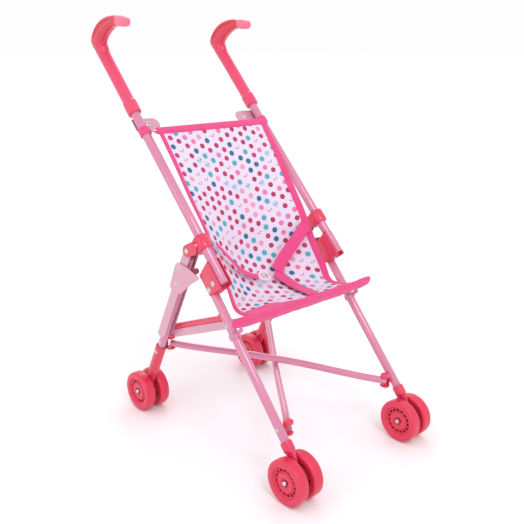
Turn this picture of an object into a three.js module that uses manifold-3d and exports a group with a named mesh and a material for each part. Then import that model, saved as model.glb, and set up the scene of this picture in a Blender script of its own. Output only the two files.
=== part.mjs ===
import * as THREE from 'three';
import { mergeVertices } from 'three/addons/utils/BufferGeometryUtils.js';
import Module from 'manifold-3d';

const wasm = await Module();
wasm.setup();

// ---- driving dimensions (mm; +Z up, the stroller faces -Y) ----
const HAND_X = 105;          // plane of each handle tube, from the middle
const LEG_X = 107.5;         // plane of each front leg, rear leg and wheel pair
const TUBE_R = 6.2;          // handle tube radius
const LEG_R = 5.8;           // front and rear leg tube radius
const BAR_R = 4.8;           // cross-bar radius
const FIT = 0.3;             // clearance kept between separate pieces
const HANDLE_FOOT = [-21.6, 242.2];   // (y, z) of the handle tube's line at the block
const HANDLE_ANGLE = 46.7;   // handle tube above horizontal, degrees
const SLEEVE_START = 263;    // grip sleeve, measured along the handle tube from HANDLE_FOOT
const TUBE_TOP = 345;        // upper end of the handle tube inside the grip
const COLLAR_AT = 56;        // sliding bracket along the handle tube
const REAR_PIVOT = [36, 270.5];   // (y, z) of the rear leg's upper pivot
const REAR_AXLE = [158.6, 29];
const FRONT_AXLE = [-155.5, 29];
const FRONT_KNUCKLE = [-128, 79];
const REAR_KNUCKLE = [114.5, 112];
const KNUCKLE_IN = 14.2;     // knuckle pin, inward of the leg plane
const WALL = 0.9;            // wall of the leg tubes and bars
const HANDLE_WALL = 1;       // wall of the handle tubes
const MIDDLE_Y = 35.372;     // middle of the overall depth, moved to y = 0
const LEG_HIGH = [-14, 215.3];    // a point high on the front leg's line
const LEG_LOW = [-142.4, 65];     // a point low on the front leg's line
const RAIL_FRONT = [-37, 188.3];  // seat rail pivot on the front leg
const RAIL_REAR = [104, 131];     // seat rail pin on the rear leg
const WHEEL_R = 29;
const WHEEL_W = 15;
const WHEEL_GAP = 9.4;       // room between the two discs of a pair
const SLOTS = 12;
const HEM = [-66, 200.5];      // (y, z) of the seat's front hem
const HEM_HALF = 127.5;
const PANEL_TOP = [119, 411];     // (y, z) of the back panel's top edge
const PANEL_HALF = 94;
const CLOTH = 1.8;

const root = new THREE.Group();
root.name = 'doll_stroller';
const grey = new THREE.MeshStandardMaterial({ color: 0xd8a0b8 });

// ---- helpers ----
const rad = (d) => (d * Math.PI) / 180;
const U = [Math.cos(rad(HANDLE_ANGLE)), Math.sin(rad(HANDLE_ANGLE))];
const N = [-U[1], U[0]];
const along = (t, n = 0) => [HANDLE_FOOT[0] + t * U[0] + n * N[0], HANDLE_FOOT[1] + t * U[1] + n * N[1]];
const mix = (a, b, f) => [a[0] + (b[0] - a[0]) * f, a[1] + (b[1] - a[1]) * f];
const unit = (a, b) => {
  const l = Math.hypot(b[0] - a[0], b[1] - a[1]);
  return [(b[0] - a[0]) / l, (b[1] - a[1]) / l];
};

function solid(geometry) {
  const g = geometry.clone();
  g.deleteAttribute('normal');
  g.deleteAttribute('uv');
  const m = mergeVertices(g, 1e-4);
  return new wasm.Manifold(new wasm.Mesh({
    numProp: 3,
    vertProperties: new Float32Array(m.attributes.position.array),
    triVerts: new Uint32Array(m.index.array),
  }));
}

function mesh(name, body) {
  let geometry = body;
  if (!body.isBufferGeometry) {
    const out = body.getMesh();
    geometry = new THREE.BufferGeometry();
    geometry.setAttribute('position', new THREE.BufferAttribute(new Float32Array(out.vertProperties), 3));
    geometry.setIndex(new THREE.BufferAttribute(new Uint32Array(out.triVerts), 1));
  }
  geometry.computeVertexNormals();
  const node = new THREE.Mesh(geometry, grey);
  node.name = name;
  root.add(node);
  return node;
}

// a closed tube of rings: each ring is a list of [x, y, z] with the same count
function rings(list) {
  const n = list[0].length;
  const pos = [];
  const idx = [];
  for (const ring of list) for (const p of ring) pos.push(p[0], p[1], p[2]);
  for (let r = 0; r < list.length - 1; r += 1) {
    for (let i = 0; i < n; i += 1) {
      const a = r * n + i;
      const b = r * n + ((i + 1) % n);
      idx.push(a, b, a + n, b, b + n, a + n);
    }
  }
  const cap = (r, flip) => {
    const c = pos.length / 3;
    const m = [0, 0, 0];
    for (const p of list[r]) for (let k = 0; k < 3; k += 1) m[k] += p[k] / n;
    pos.push(m[0], m[1], m[2]);
    for (let i = 0; i < n; i += 1) {
      const a = r * n + i;
      const b = r * n + ((i + 1) % n);
      if (flip) idx.push(c, a, b);
      else idx.push(c, b, a);
    }
  };
  cap(0, false);
  cap(list.length - 1, true);
  const g = new THREE.BufferGeometry();
  g.setAttribute('position', new THREE.Float32BufferAttribute(pos, 3));
  g.setIndex(idx);
  let s = solid(g);
  if (s.volume() < 0) {
    for (let i = 0; i < idx.length; i += 3) [idx[i], idx[i + 1]] = [idx[i + 1], idx[i]];
    g.setIndex(idx);
    s = solid(g);
  }
  return s;
}

// straight round bar between two points of space
function rod(a, b, r, n = 14) {
  const A = new THREE.Vector3(...a);
  const B = new THREE.Vector3(...b);
  const d = new THREE.Vector3().subVectors(B, A).normalize();
  const side = Math.abs(d.x) > 0.9 ? new THREE.Vector3(0, 0, 1) : new THREE.Vector3(1, 0, 0);
  const p = new THREE.Vector3().crossVectors(d, side).normalize();
  const q = new THREE.Vector3().crossVectors(d, p);
  const ring = (c) => {
    const out = [];
    for (let i = 0; i < n; i += 1) {
      const t = (i / n) * 2 * Math.PI;
      const v = c.clone().addScaledVector(p, r * Math.cos(t)).addScaledVector(q, r * Math.sin(t));
      out.push([v.x, v.y, v.z]);
    }
    return out;
  };
  return rings([ring(A), ring(B)]);
}

// sections along a path in a side plane: {c:[y,z], a: half size in the plane, b: half size across}
function loft(x, stops, n = 18, power = 1) {
  const list = stops.map((s, i) => {
    const before = stops[Math.max(0, i - 1)].c;
    const after = stops[Math.min(stops.length - 1, i + 1)].c;
    const d = s.d || unit(before, after);
    const ring = [];
    for (let k = 0; k < n; k += 1) {
      const t = (k / n) * 2 * Math.PI;
      const ct = Math.sign(Math.cos(t)) * Math.abs(Math.cos(t)) ** power;
      const st = Math.sign(Math.sin(t)) * Math.abs(Math.sin(t)) ** power;
      ring.push([x + s.b * ct, s.c[0] - d[1] * s.a * st, s.c[1] + d[0] * s.a * st]);
    }
    return ring;
  });
  return rings(list);
}

// flat outline in the side plane ([y, z] points), given thickness across x
function plate(points, x0, x1, bevel = 0, holes = []) {
  const s = new THREE.Shape(points.map((p) => new THREE.Vector2(p[0], p[1])));
  for (const h of holes) s.holes.push(new THREE.Path(h.map((p) => new THREE.Vector2(p[0], p[1]))));
  const g = new THREE.ExtrudeGeometry(s, {
    depth: x1 - x0 - 2 * bevel,
    bevelEnabled: bevel > 0,
    bevelThickness: bevel,
    bevelSize: bevel,
    bevelOffset: -bevel,
    bevelSegments: 2,
    curveSegments: 6,
    steps: 1,
  });
  const m = new THREE.Matrix4().set(0, 0, 1, x0 + bevel, 1, 0, 0, 0, 0, 1, 0, 0, 0, 0, 0, 1);
  g.applyMatrix4(m);
  return solid(g);
}

const circle = (c, r, n = 16, from = 0, to = 360) => {
  const out = [];
  for (let i = 0; i <= n; i += 1) {
    if (to - from === 360 && i === n) break;
    const t = rad(from + ((to - from) * i) / n);
    out.push([c[0] + r * Math.cos(t), c[1] + r * Math.sin(t)]);
  }
  return out;
};

// capsule outline round two points with two radii
function capsule(a, b, ra, rb, n = 8) {
  const d = (Math.atan2(b[1] - a[1], b[0] - a[0]) * 180) / Math.PI;
  return [...circle(a, ra, n, d + 90, d + 270), ...circle(b, rb, n, d - 90, d + 90)];
}

// low domed rivet head standing out of a face, on the side given by s (+1 or -1 along x)
const rivet = (x, c, s, r = 3, h = 1.5) => rings([
  circle(c, r, 12).map((p) => [x - s * 0.6, p[0], p[1]]),
  circle(c, r, 12).map((p) => [x + s * h * 0.4, p[0], p[1]]),
  circle(c, r * 0.6, 12).map((p) => [x + s * h, p[0], p[1]]),
]);

const tag = (s) => (s < 0 ? 'L' : 'R');
const legDir = unit(LEG_HIGH, LEG_LOW);
const legAt = (y) => [y, LEG_HIGH[1] + ((y - LEG_HIGH[0]) * legDir[1]) / legDir[0]];
const rearDir = unit(REAR_PIVOT, REAR_AXLE);
const rearAt = (d, n = 0) => [
  REAR_PIVOT[0] + d * rearDir[0] - n * rearDir[1],
  REAR_PIVOT[1] + d * rearDir[1] + n * rearDir[0],
];

// ---- one side frame ----
for (const s of [-1, 1]) {
  const X = s * HAND_X;
  const L = s * LEG_X;
  const T = tag(s);
  // x measured outward (+) or inward (-) from the leg plane, as an ordered pair
  const span = (a, b) => (s > 0 ? [L + a, L + b] : [L - b, L - a]);

  // handle tube
  mesh(`handle_tube_${T}`, rod([X, ...along(-4)], [X, ...along(TUBE_TOP)], TUBE_R, 16)
    .subtract(rod([X, ...along(-6)], [X, ...along(TUBE_TOP + 2)], TUBE_R - HANDLE_WALL, 12)));

  // moulded hook grip over the top of the tube
  const st = (t, r) => ({ c: along(t), a: r, b: r, d: U });
  const grip = loft(X, [
    st(SLEEVE_START, 8.4), st(SLEEVE_START + 2, 9.4), st(SLEEVE_START + 20, 9.4),
    st(SLEEVE_START + 24, 8.4), st(352, 8.4), st(366, 8.7),
    { c: [241.5, 524.8], a: 13.8, b: 8.5, d: unit([0, 0], [-0.09, 1]) },
    { c: [237, 534], a: 13.6, b: 8.4, d: unit([0, 0], [-0.3, 0.95]) },
    { c: [227.5, 542.6], a: 12.2, b: 8.2, d: unit([0, 0], [-0.62, 0.78]) },
    { c: [217.5, 547.6], a: 10.3, b: 8.1, d: unit([0, 0], [-0.85, 0.52]) },
    { c: [208, 550.6], a: 8.7, b: 8, d: unit([0, 0], [-0.96, 0.28]) },
    { c: [196, 552.5], a: 7.2, b: 7.6, d: [-1, 0] },
    { c: [187, 552.4], a: 6.0, b: 7.0, d: [-1, 0] },
    { c: [184, 552.2], a: 6.8, b: 7.8, d: [-1, 0] },
    { c: [171, 551], a: 6.4, b: 7.4, d: unit([0, 0], [-1, -0.1]) },
    { c: [167, 550.5], a: 4.6, b: 5.4, d: unit([0, 0], [-1, -0.1]) },
  ], 12).subtract(rod([X, ...along(SLEEVE_START - 5)], [X, ...along(TUBE_TOP + 3)], TUBE_R + FIT, 16));
  mesh(`grip_${T}`, grip);

  // steel plate riveted across the tube just below the grip
  const pt = (t, n, x) => [s * x, ...along(t, n)];
  const slab = (t0, t1, n0, n1, x0, x1) => {
    const g = new THREE.BoxGeometry(x1 - x0, t1 - t0, n1 - n0);
    const m = new THREE.Matrix4().makeBasis(
      new THREE.Vector3(1, 0, 0), new THREE.Vector3(0, U[0], U[1]), new THREE.Vector3(0, -U[1], U[0]));
    const c = along((t0 + t1) / 2, (n0 + n1) / 2);
    g.applyMatrix4(m);
    g.translate((s * (x0 + x1)) / 2, c[0], c[1]);
    return solid(g);
  };
  mesh(`strap_plate_${T}`, slab(240, 260, -TUBE_R - 2.4, -TUBE_R - FIT, 78, 110)
    .add(rod(pt(250, -TUBE_R - 2, 79), pt(250, -TUBE_R - 0.8, 79), 10, 14)
      .subtract(slab(230, 270, -20, 20, 79, 100)))
    .add(rod(pt(250, -TUBE_R - 1.5, 87), pt(250, -TUBE_R + 1, 87), 3.4, 12)));

  // sliding bracket: a collar round the handle tube with a forked lug for the rear leg
  const collar = plate([
    along(COLLAR_AT - 10, 8.4), along(COLLAR_AT - 10, -8), along(COLLAR_AT - 8, -12),
    ...circle(REAR_PIVOT, 8.2, 6, 222, 330),
    along(COLLAR_AT + 10, -9), along(COLLAR_AT + 10, 8.4),
  ], X - 10.5, X + 10.5, 1.4)
    .subtract(rod([X, ...along(COLLAR_AT - 30)], [X, ...along(COLLAR_AT + 30)], TUBE_R + FIT, 16));
  const [lx0, lx1] = span(-7.7, 7.7);
  const slot = plate([
    along(COLLAR_AT - 40, -TUBE_R - 2.4), along(COLLAR_AT - 40, -60),
    along(COLLAR_AT + 40, -60), along(COLLAR_AT + 40, -TUBE_R - 2.4),
  ], lx0, lx1);
  const [cx0, cx1] = span(7.7, 9.9);
  const cheek = plate(capsule(REAR_PIVOT, along(COLLAR_AT, -11), 8.2, 8), cx0, cx1);
  mesh(`bracket_${T}`, collar.subtract(slot).add(cheek)
    .add(rivet(L + s * 9.9, REAR_PIVOT, s, 2.8, 1.4))
    .add(rivet(X + s * 10.5, along(COLLAR_AT, 0), s, 2.8, 1.4)));

  // coral block: cheeks on both sides of the handle tube, solid behind it round the front leg
  const outline = (front) => [
    along(-8, front), along(29, front), along(30, front - 2), along(30, -20), along(24, -27.5),
    along(-7, -27.5), along(-10, -18), along(-10, front - 2),
  ];
  const inner = [X - s * 8.6, X - s * (TUBE_R + FIT + 0.2)].sort((p, q) => p - q);
  const block = plate(outline(1), s > 0 ? X - 8.6 : X - 9.4, s > 0 ? X + 9.4 : X + 8.6, 0.8)
    .add(plate([along(-8, -6), along(-8, 5), along(28, 5), along(28, -6)], inner[0], inner[1]))
    .subtract(rod([X, ...along(-4 - FIT)], [X, ...along(60)], TUBE_R + FIT, 16))
    .subtract(rod([L, ...legAt(-4.2)], [L, ...legAt(-60)], LEG_R + FIT, 14));
  mesh(`block_${T}`, block
    .add(rivet(X + s * 9.4, along(1, -3.5), s, 2.8, 1.4))
    .add(rivet(X + s * 9.4, along(1, -20), s, 2.8, 1.4)));

  // front leg with its two rivets
  mesh(`front_leg_${T}`, rod([L, ...legAt(-4.6)], [L, ...legAt(-143.5)], LEG_R, 14)
    .subtract(rod([L, ...legAt(-3)], [L, ...legAt(-145)], LEG_R - WALL, 10))
    .add(rivet(L + s * (LEG_R - 0.2), RAIL_FRONT, s, 2.6, 2.2))
    .add(rivet(L + s * (LEG_R - 0.2), legAt(FRONT_KNUCKLE[0]), s, 2.6, 2.2)));

  // front fork leg between the wheel discs, with a socket for the tube
  mesh(`front_fork_${T}`, loft(L, [
    { c: legAt(-138.5), a: 7.4, b: 7.4, d: legDir },
    { c: legAt(-145.5), a: 7.4, b: 7.2, d: legDir },
    { c: legAt(-147), a: 7.4, b: 3.9, d: legDir },
    { c: [-153, 42], a: 7.6, b: 3.9, d: unit([0, 0], [-0.35, -0.94]) },
    { c: [FRONT_AXLE[0], FRONT_AXLE[1] - 3], a: 7.0, b: 3.9, d: [0, -1] },
    { c: [FRONT_AXLE[0], FRONT_AXLE[1] - 8], a: 3.6, b: 3.9, d: [0, -1] },
  ], 12)
    .subtract(rod([L, ...legAt(-130)], [L, ...legAt(-144)], LEG_R + FIT, 14))
    .subtract(rod([L - 20, ...FRONT_AXLE], [L + 20, ...FRONT_AXLE], 2.3, 10)));

  // rear leg tube and the pressed channel that wraps it from behind
  mesh(`rear_leg_${T}`, rod([L, ...rearAt(12)], [L, ...rearAt(196)], LEG_R, 14)
    .subtract(rod([L, ...rearAt(10)], [L, ...rearAt(198)], LEG_R - WALL, 10))
    .add(rivet(L + s * (LEG_R - 0.2), rearAt(170), s, 2.6, 1.8)));
  mesh(`rear_channel_${T}`, plate([rearAt(-6, -6), rearAt(-6, 6), rearAt(10, 8), rearAt(150, 9.8),
    rearAt(156, 4), rearAt(160, -4), rearAt(158, -7)], L - 7.2, L + 7.2, 0.6)
    .subtract(plate([rearAt(-20, -12), rearAt(-20, 3), rearAt(10, 6.4), rearAt(170, 8), rearAt(170, -12)],
      L - LEG_R - FIT, L + LEG_R + FIT))
    .subtract(plate(circle(RAIL_REAR, 3, 10), L - 9, L + 9)));

  // rear fork leg
  mesh(`rear_fork_${T}`, loft(L, [
    { c: rearAt(180), a: 7.6, b: 7.4, d: rearDir },
    { c: rearAt(231), a: 7.8, b: 7.2, d: rearDir },
    { c: rearAt(237), a: 7.6, b: 3.9, d: rearDir },
    { c: rearAt(272), a: 7.0, b: 3.9, d: rearDir },
    { c: rearAt(278), a: 4.6, b: 3.9, d: rearDir },
  ], 12)
    .subtract(rod([L, ...rearAt(170)], [L, ...rearAt(197)], LEG_R + FIT, 14))
    .subtract(rod([L - 20, ...REAR_AXLE], [L + 20, ...REAR_AXLE], 2.3, 10))
    .add(rivet(L + s * 7.1, rearAt(190), s, 2.6, 1.6)));

  // gusset plate on the outside of the rear leg, and the catch between it and the block
  const [gx0, gx1] = span(7.7, 9.1);
  mesh(`gusset_${T}`, plate([
    [57, 250], [46, 249.5], [34, 247], [22, 243.5], [13, 240.5], [15, 237], [28, 228.5],
    [40, 220], [49, 212], [57, 207], [76, 210], [70, 224],
  ].reverse(), gx0, gx1)
    .add(rivet(L + s * 9.1, [56, 243], s, 2.6, 1.2))
    .add(rivet(L + s * 9.1, [62, 223], s, 2.6, 1.2)));
  const [kx0, kx1] = span(4.4, 7.4);
  mesh(`catch_${T}`, plate([...capsule([31, 242], [20.5, 247], 5, 3.6)], kx0, kx1));

  // seat rail: steel channel from the front leg, coral slide from the rear leg
  const rd = unit(RAIL_FRONT, RAIL_REAR);
  const rail = (d, h) => [RAIL_FRONT[0] + d * rd[0] - h * rd[1], RAIL_FRONT[1] + d * rd[1] + h * rd[0]];
  const len = Math.hypot(RAIL_REAR[0] - RAIL_FRONT[0], RAIL_REAR[1] - RAIL_FRONT[1]);
  const [rx0, rx1] = span(-14.2, -7.8);
  const mid = (rx0 + rx1) / 2;
  const box = (d0, d1, h0, h1) => [rail(d0, h0), rail(d1, h0), rail(d1, h1), rail(d0, h1)];
  const [qx0, qx1] = span(-9, -5.95);
  mesh(`rail_channel_${T}`, plate(box(-5, len - 7, -5.5, 5.5), rx0, rx1)
    .subtract(plate(box(4, len + 10, -4.2, 8), mid - 1.95, mid + 1.95))
    .add(plate(circle(RAIL_FRONT, 4, 10), qx0, qx1)));
  mesh(`rail_slide_${T}`, plate([...box(14, len - 3, -3.8, 6), ...[]], mid - 1.6, mid + 1.6)
    .add(plate([rail(14, 5.9), rail(len + 2, 5.9), rail(len + 5, 9), rail(len - 2, 13.5), rail(30, 13.5),
      rail(28, 16.5), rail(16, 16.5), rail(14, 12)], rx0, rx1))
    .add(plate(circle(RAIL_REAR, 5.8, 12), mid - 3.2, mid + 3.2))
    .subtract(plate(circle(RAIL_REAR, 3, 10), mid - 9, mid + 9)));

  // knuckles: a cap and a lip with the end of a cross bar between them, on a boss to the leg
  for (const [name, at, off, top, gap, boss] of [['front', FRONT_KNUCKLE, 6.2, 6, 5.5, 4.6],
    ['rear', REAR_KNUCKLE, 7.8, 7.7, 5.9, 3]]) {
    const kx = L - s * KNUCKLE_IN;
    const jaw = [kx - s * 12, kx + s * gap].sort((p, q) => p - q);
    const body = rod([kx, at[0], at[1] - 8.4], [kx, at[0], at[1] + top + 3.6], 6.6, 16)
      .subtract(plate([[at[0] - 12, at[1] - 5.9], [at[0] + 12, at[1] - 5.9], [at[0] + 12, at[1] + top],
        [at[0] - 12, at[1] + top]], jaw[0], jaw[1]))
      .add(rod([L - s * off, ...at], [kx + s * (gap + 0.1), ...at], boss, 12))
      .add(rod([kx, at[0], at[1] - 10.2], [kx, at[0], at[1] - 7], 2.8, 10));
    mesh(`knuckle_${name}_${T}`, body);
  }

  // clip on the front leg that carries one end of the seat's front hem
  mesh(`hem_clip_${T}`, rod([L, ...legAt(-44.5)], [L, ...legAt(-49.5)], 7.6, 14)
    .add(plate(capsule(legAt(-47), [-58.6, 188], 2.8, 2.6, 5), L - 1.2, L + 1.2))
    .subtract(rod([L, ...legAt(-40)], [L, ...legAt(-54)], LEG_R + FIT, 14)));

  // twin wheels and axles
  for (const [end, at] of [['front', FRONT_AXLE], ['rear', REAR_AXLE]]) {
    const half = WHEEL_GAP / 2;
    for (const side of [-1, 1]) {
      const w = WHEEL_W;
      const profile = [[2.3, 1], [6.5, 1], [7.5, 4.4], [19.6, 4.4], [20.8, 0], [27.4, 0],
        [WHEEL_R, w * 0.3], [WHEEL_R, w * 0.7], [27.4, w], [20.8, w], [19.8, w - 3.6],
        [6.2, w - 3.6], [5.6, w - 1.5], [2.3, w - 1.5], [2.3, 1]];
      const g = new THREE.LatheGeometry(profile.map((p) => new THREE.Vector2(p[0], p[1])), 20);
      const m = new THREE.Matrix4().makeRotationZ(-side * Math.PI / 2);
      g.applyMatrix4(m);
      g.translate(L + side * half, at[0], at[1]);
      let disc = solid(g);
      if (disc.volume() < 0) throw new Error('wheel inside out');
      for (let i = 0; i < SLOTS; i += 1) {
        const t = (i / SLOTS) * 2 * Math.PI;
        const c = [at[0] + 16 * Math.cos(t), at[1] + 16 * Math.sin(t)];
        const e = [-Math.sin(t), Math.cos(t)];
        const hole = capsule([c[0] - e[0] * 1.6, c[1] - e[1] * 1.6], [c[0] + e[0] * 1.6, c[1] + e[1] * 1.6],
          1.3, 1.3, 2);
        disc = disc.subtract(plate(hole, L - 30, L + 30));
      }
      mesh(`wheel_${end}_${T}_${side * s > 0 ? 'out' : 'in'}`, disc);
    }
    mesh(`axle_${end}_${T}`, rod([L - 20.4, ...at], [L + 20.4, ...at], 2.0, 10));
  }
}

// ---- the two crossed bars, bowed apart where they pass ----
function bar(name, from, to, bow) {
  const A = new THREE.Vector3(...from);
  const B = new THREE.Vector3(...to);
  const d = new THREE.Vector3().subVectors(B, A).normalize();
  const p = new THREE.Vector3().crossVectors(d, new THREE.Vector3(0, 0, 1)).normalize();
  const q = new THREE.Vector3().crossVectors(p, d);
  const skin = (r, past, n) => rings([-past, 0.05, 0.42, 0.58, 0.95, 1 + past].map((f) => {
    const c = A.clone().lerp(B, f);
    c.z += bow * Math.min(1, Math.max(0, (Math.min(f, 1 - f) - 0.05) / 0.37));
    const out = [];
    for (let i = 0; i < n; i += 1) {
      const t = (i / n) * 2 * Math.PI;
      const v = c.clone().addScaledVector(p, r * Math.cos(t)).addScaledVector(q, r * Math.sin(t));
      out.push([v.x, v.y, v.z]);
    }
    return out;
  }));
  mesh(name, skin(BAR_R, 0, 12).subtract(skin(BAR_R - WALL, 0.01, 8)));
}
const pin = LEG_X - KNUCKLE_IN;
const reach = (a, b, g) => a.map((v, i) => v + (b[i] - v) * g);
for (const [name, s, bow] of [['cross_bar_A', 1, 4], ['cross_bar_B', -1, -6.6]]) {
  const f = [s * pin, FRONT_KNUCKLE[0], FRONT_KNUCKLE[1]];
  const r = [-s * pin, REAR_KNUCKLE[0], REAR_KNUCKLE[1]];
  bar(name, reach(f, r, -0.0065), r, bow);
}

// ---- cloth seat ----
// sheet through rows of [x, y, z] with equal counts, thickened along its own normals
function sheet(rows, thick) {
  const h = rows.length;
  const w = rows[0].length;
  const at = (i, j) => new THREE.Vector3(...rows[Math.min(h - 1, Math.max(0, i))][Math.min(w - 1, Math.max(0, j))]);
  const pos = [];
  for (const side of [1, -1]) {
    for (let i = 0; i < h; i += 1) {
      for (let j = 0; j < w; j += 1) {
        const a = at(i + 1, j).sub(at(i - 1, j));
        const b = at(i, j + 1).sub(at(i, j - 1));
        const n = a.cross(b).normalize();
        const p = at(i, j).addScaledVector(n, (side * thick) / 2);
        pos.push(p.x, p.y, p.z);
      }
    }
  }
  const idx = [];
  const id = (k, i, j) => k * h * w + i * w + j;
  const quad = (a, b, c, d) => idx.push(a, b, c, a, c, d);
  for (let i = 0; i < h - 1; i += 1) {
    for (let j = 0; j < w - 1; j += 1) {
      quad(id(0, i, j), id(0, i + 1, j), id(0, i + 1, j + 1), id(0, i, j + 1));
      quad(id(1, i, j), id(1, i, j + 1), id(1, i + 1, j + 1), id(1, i + 1, j));
    }
  }
  for (let i = 0; i < h - 1; i += 1) {
    quad(id(0, i, 0), id(1, i, 0), id(1, i + 1, 0), id(0, i + 1, 0));
    quad(id(0, i, w - 1), id(0, i + 1, w - 1), id(1, i + 1, w - 1), id(1, i, w - 1));
  }
  for (let j = 0; j < w - 1; j += 1) {
    quad(id(0, 0, j), id(0, 0, j + 1), id(1, 0, j + 1), id(1, 0, j));
    quad(id(0, h - 1, j), id(1, h - 1, j), id(1, h - 1, j + 1), id(0, h - 1, j + 1));
  }
  const g = new THREE.BufferGeometry();
  g.setAttribute('position', new THREE.Float32BufferAttribute(pos, 3));
  g.setIndex(idx);
  let m = solid(g);
  if (m.volume() < 0) {
    for (let i = 0; i < idx.length; i += 3) [idx[i], idx[i + 1]] = [idx[i + 1], idx[i]];
    g.setIndex(idx);
    m = solid(g);
  }
  return m;
}

// side edge of the sling: [half width, y, z] down the handle tubes, past the block to the hem
const EDGE = [
  [PANEL_HALF, PANEL_TOP[0], PANEL_TOP[1]],
  [93, 88, 372],
  [92, 60, 333],
  [90.5, 32, 296],
  [90, 10, 260],
  [89.8, -12, 226],
  [89.6, -28, 201],
  [95, -60.3, 203],
];
// middle line of the sling, [y, z]
const MIDDLE = [
  [PANEL_TOP[0], PANEL_TOP[1]], [95, 366], [74, 322], [57, 281], [41, 241], [13, 212], [-20, 200], [-60.3, 201.5],
];
const ACROSS = 8;
const rows = EDGE.map((e, i) => {
  const out = [];
  for (let j = 0; j <= ACROSS; j += 1) {
    const u = (2 * j) / ACROSS - 1;
    const f = 1 - u * u;
    out.push([u * e[0], e[1] + (MIDDLE[i][0] - e[1]) * f, e[2] + (MIDDLE[i][1] - e[2]) * f]);
  }
  return out;
});
mesh('seat_sling', sheet(rows, CLOTH));

// front hem band and top binding, rolled over the ends of the sling
function roll(name, list, n = 10) {
  mesh(name, rings(list.map((q) => {
    const ring = [];
    for (let i = 0; i < n; i += 1) {
      const t = (i / n) * 2 * Math.PI;
      const c = Math.cos(q.tilt);
      const k = Math.sin(q.tilt);
      const a = q.a * Math.cos(t);
      const b = q.b * Math.sin(t);
      ring.push([q.x, q.y + a * c - b * k, q.z + a * k + b * c]);
    }
    return ring;
  })));
}
roll('front_hem', [-1, -0.97, -0.85, -0.45, 0, 0.45, 0.85, 0.97, 1].map((u) => ({
  x: u * HEM_HALF,
  y: HEM[0] + 1 - 1 * Math.abs(u),
  z: HEM[1] + 3 * Math.abs(u) ** 3,
  a: Math.abs(u) === 1 ? 4.5 : 9.5,
  b: Math.abs(u) === 1 ? 2 : 4.2,
  tilt: rad(120),
})));
roll('top_binding', [-1, -0.5, 0, 0.5, 1].map((u) => ({
  x: u * (PANEL_HALF + 1), y: PANEL_TOP[0] + 3.4, z: PANEL_TOP[1] + 4.4, a: 4.2, b: 1.6, tilt: rad(52),
})), 8);

// a point on the sling and its normal: u across (-1 to 1), v in rows from the top, lifted off its face
function onSling(u, v, lift = 0) {
  const p = (uu, vv) => {
    const i = Math.min(EDGE.length - 2, Math.floor(vv));
    const g = vv - i;
    const e = EDGE[i].map((k, n) => k + (EDGE[i + 1][n] - k) * g);
    const m = mix(MIDDLE[i], MIDDLE[i + 1], g);
    const f = 1 - uu * uu;
    return new THREE.Vector3(uu * e[0], e[1] + (m[0] - e[1]) * f, e[2] + (m[1] - e[2]) * f);
  };
  const down = p(u, v + 0.2).sub(p(u, v - 0.2));
  const right = p(u + 0.05, v).sub(p(u - 0.05, v));
  const normal = new THREE.Vector3().crossVectors(down, right).normalize();
  return { at: p(u, v).addScaledVector(normal, lift), normal };
}

// flat webbing through [x, y, z] points, with an across direction at each
function web(name, path, across, width, thick) {
  const list = path.map((c, i) => {
    const a = new THREE.Vector3(...path[Math.max(0, i - 1)]);
    const b = new THREE.Vector3(...path[Math.min(path.length - 1, i + 1)]);
    const d = b.sub(a).normalize();
    const w = new THREE.Vector3(...across[i]);
    w.addScaledVector(d, -w.dot(d)).normalize();
    const t = new THREE.Vector3().crossVectors(d, w).normalize();
    const p = new THREE.Vector3(...c);
    return [[1, 1], [-1, 1], [-1, -1], [1, -1]].map(([u, v]) => {
      const q = p.clone().addScaledVector(w, (u * width) / 2).addScaledVector(t, (v * thick) / 2);
      return [q.x, q.y, q.z];
    });
  });
  mesh(name, rings(list));
}

// harness webbing lying over the sling, through [u, v, lift] stops
function strap(name, list, width) {
  const stops = list.map((q) => onSling(...q));
  const across = stops.map((q, i) => {
    const d = stops[Math.min(stops.length - 1, i + 1)].at.clone().sub(stops[Math.max(0, i - 1)].at);
    return new THREE.Vector3().crossVectors(q.normal, d).toArray();
  });
  web(name, stops.map((q) => q.at.toArray()), across, width, 1.3);
}
strap('harness_strap_L', [[-0.93, 3.49, 5.5], [-0.765, 3.956, 8.5], [-0.535, 4.457, 8.5], [-0.27, 4.82, 6.5]], 8);
strap('harness_strap_R', [[0.94, 3.58, 6.5], [0.721, 4.0, 9], [0.47, 4.41, 8.5],
  [0.3, 4.66, 8]], 16);
strap('crotch_strap', [[0.21, 5.06, 6.5], [0.26, 5.6, 6], [0.27, 6.2, 5.5], [0.2, 6.8, 4]], 17);

const ringPlace = onSling(-0.09, 4.97, 8);
const torus = new THREE.TorusGeometry(7.6, 1.5, 6, 14);
torus.applyQuaternion(new THREE.Quaternion().setFromUnitVectors(new THREE.Vector3(0, 0, 1), ringPlace.normal));
torus.translate(...ringPlace.at.toArray());
mesh('harness_ring', solid(torus));

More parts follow.
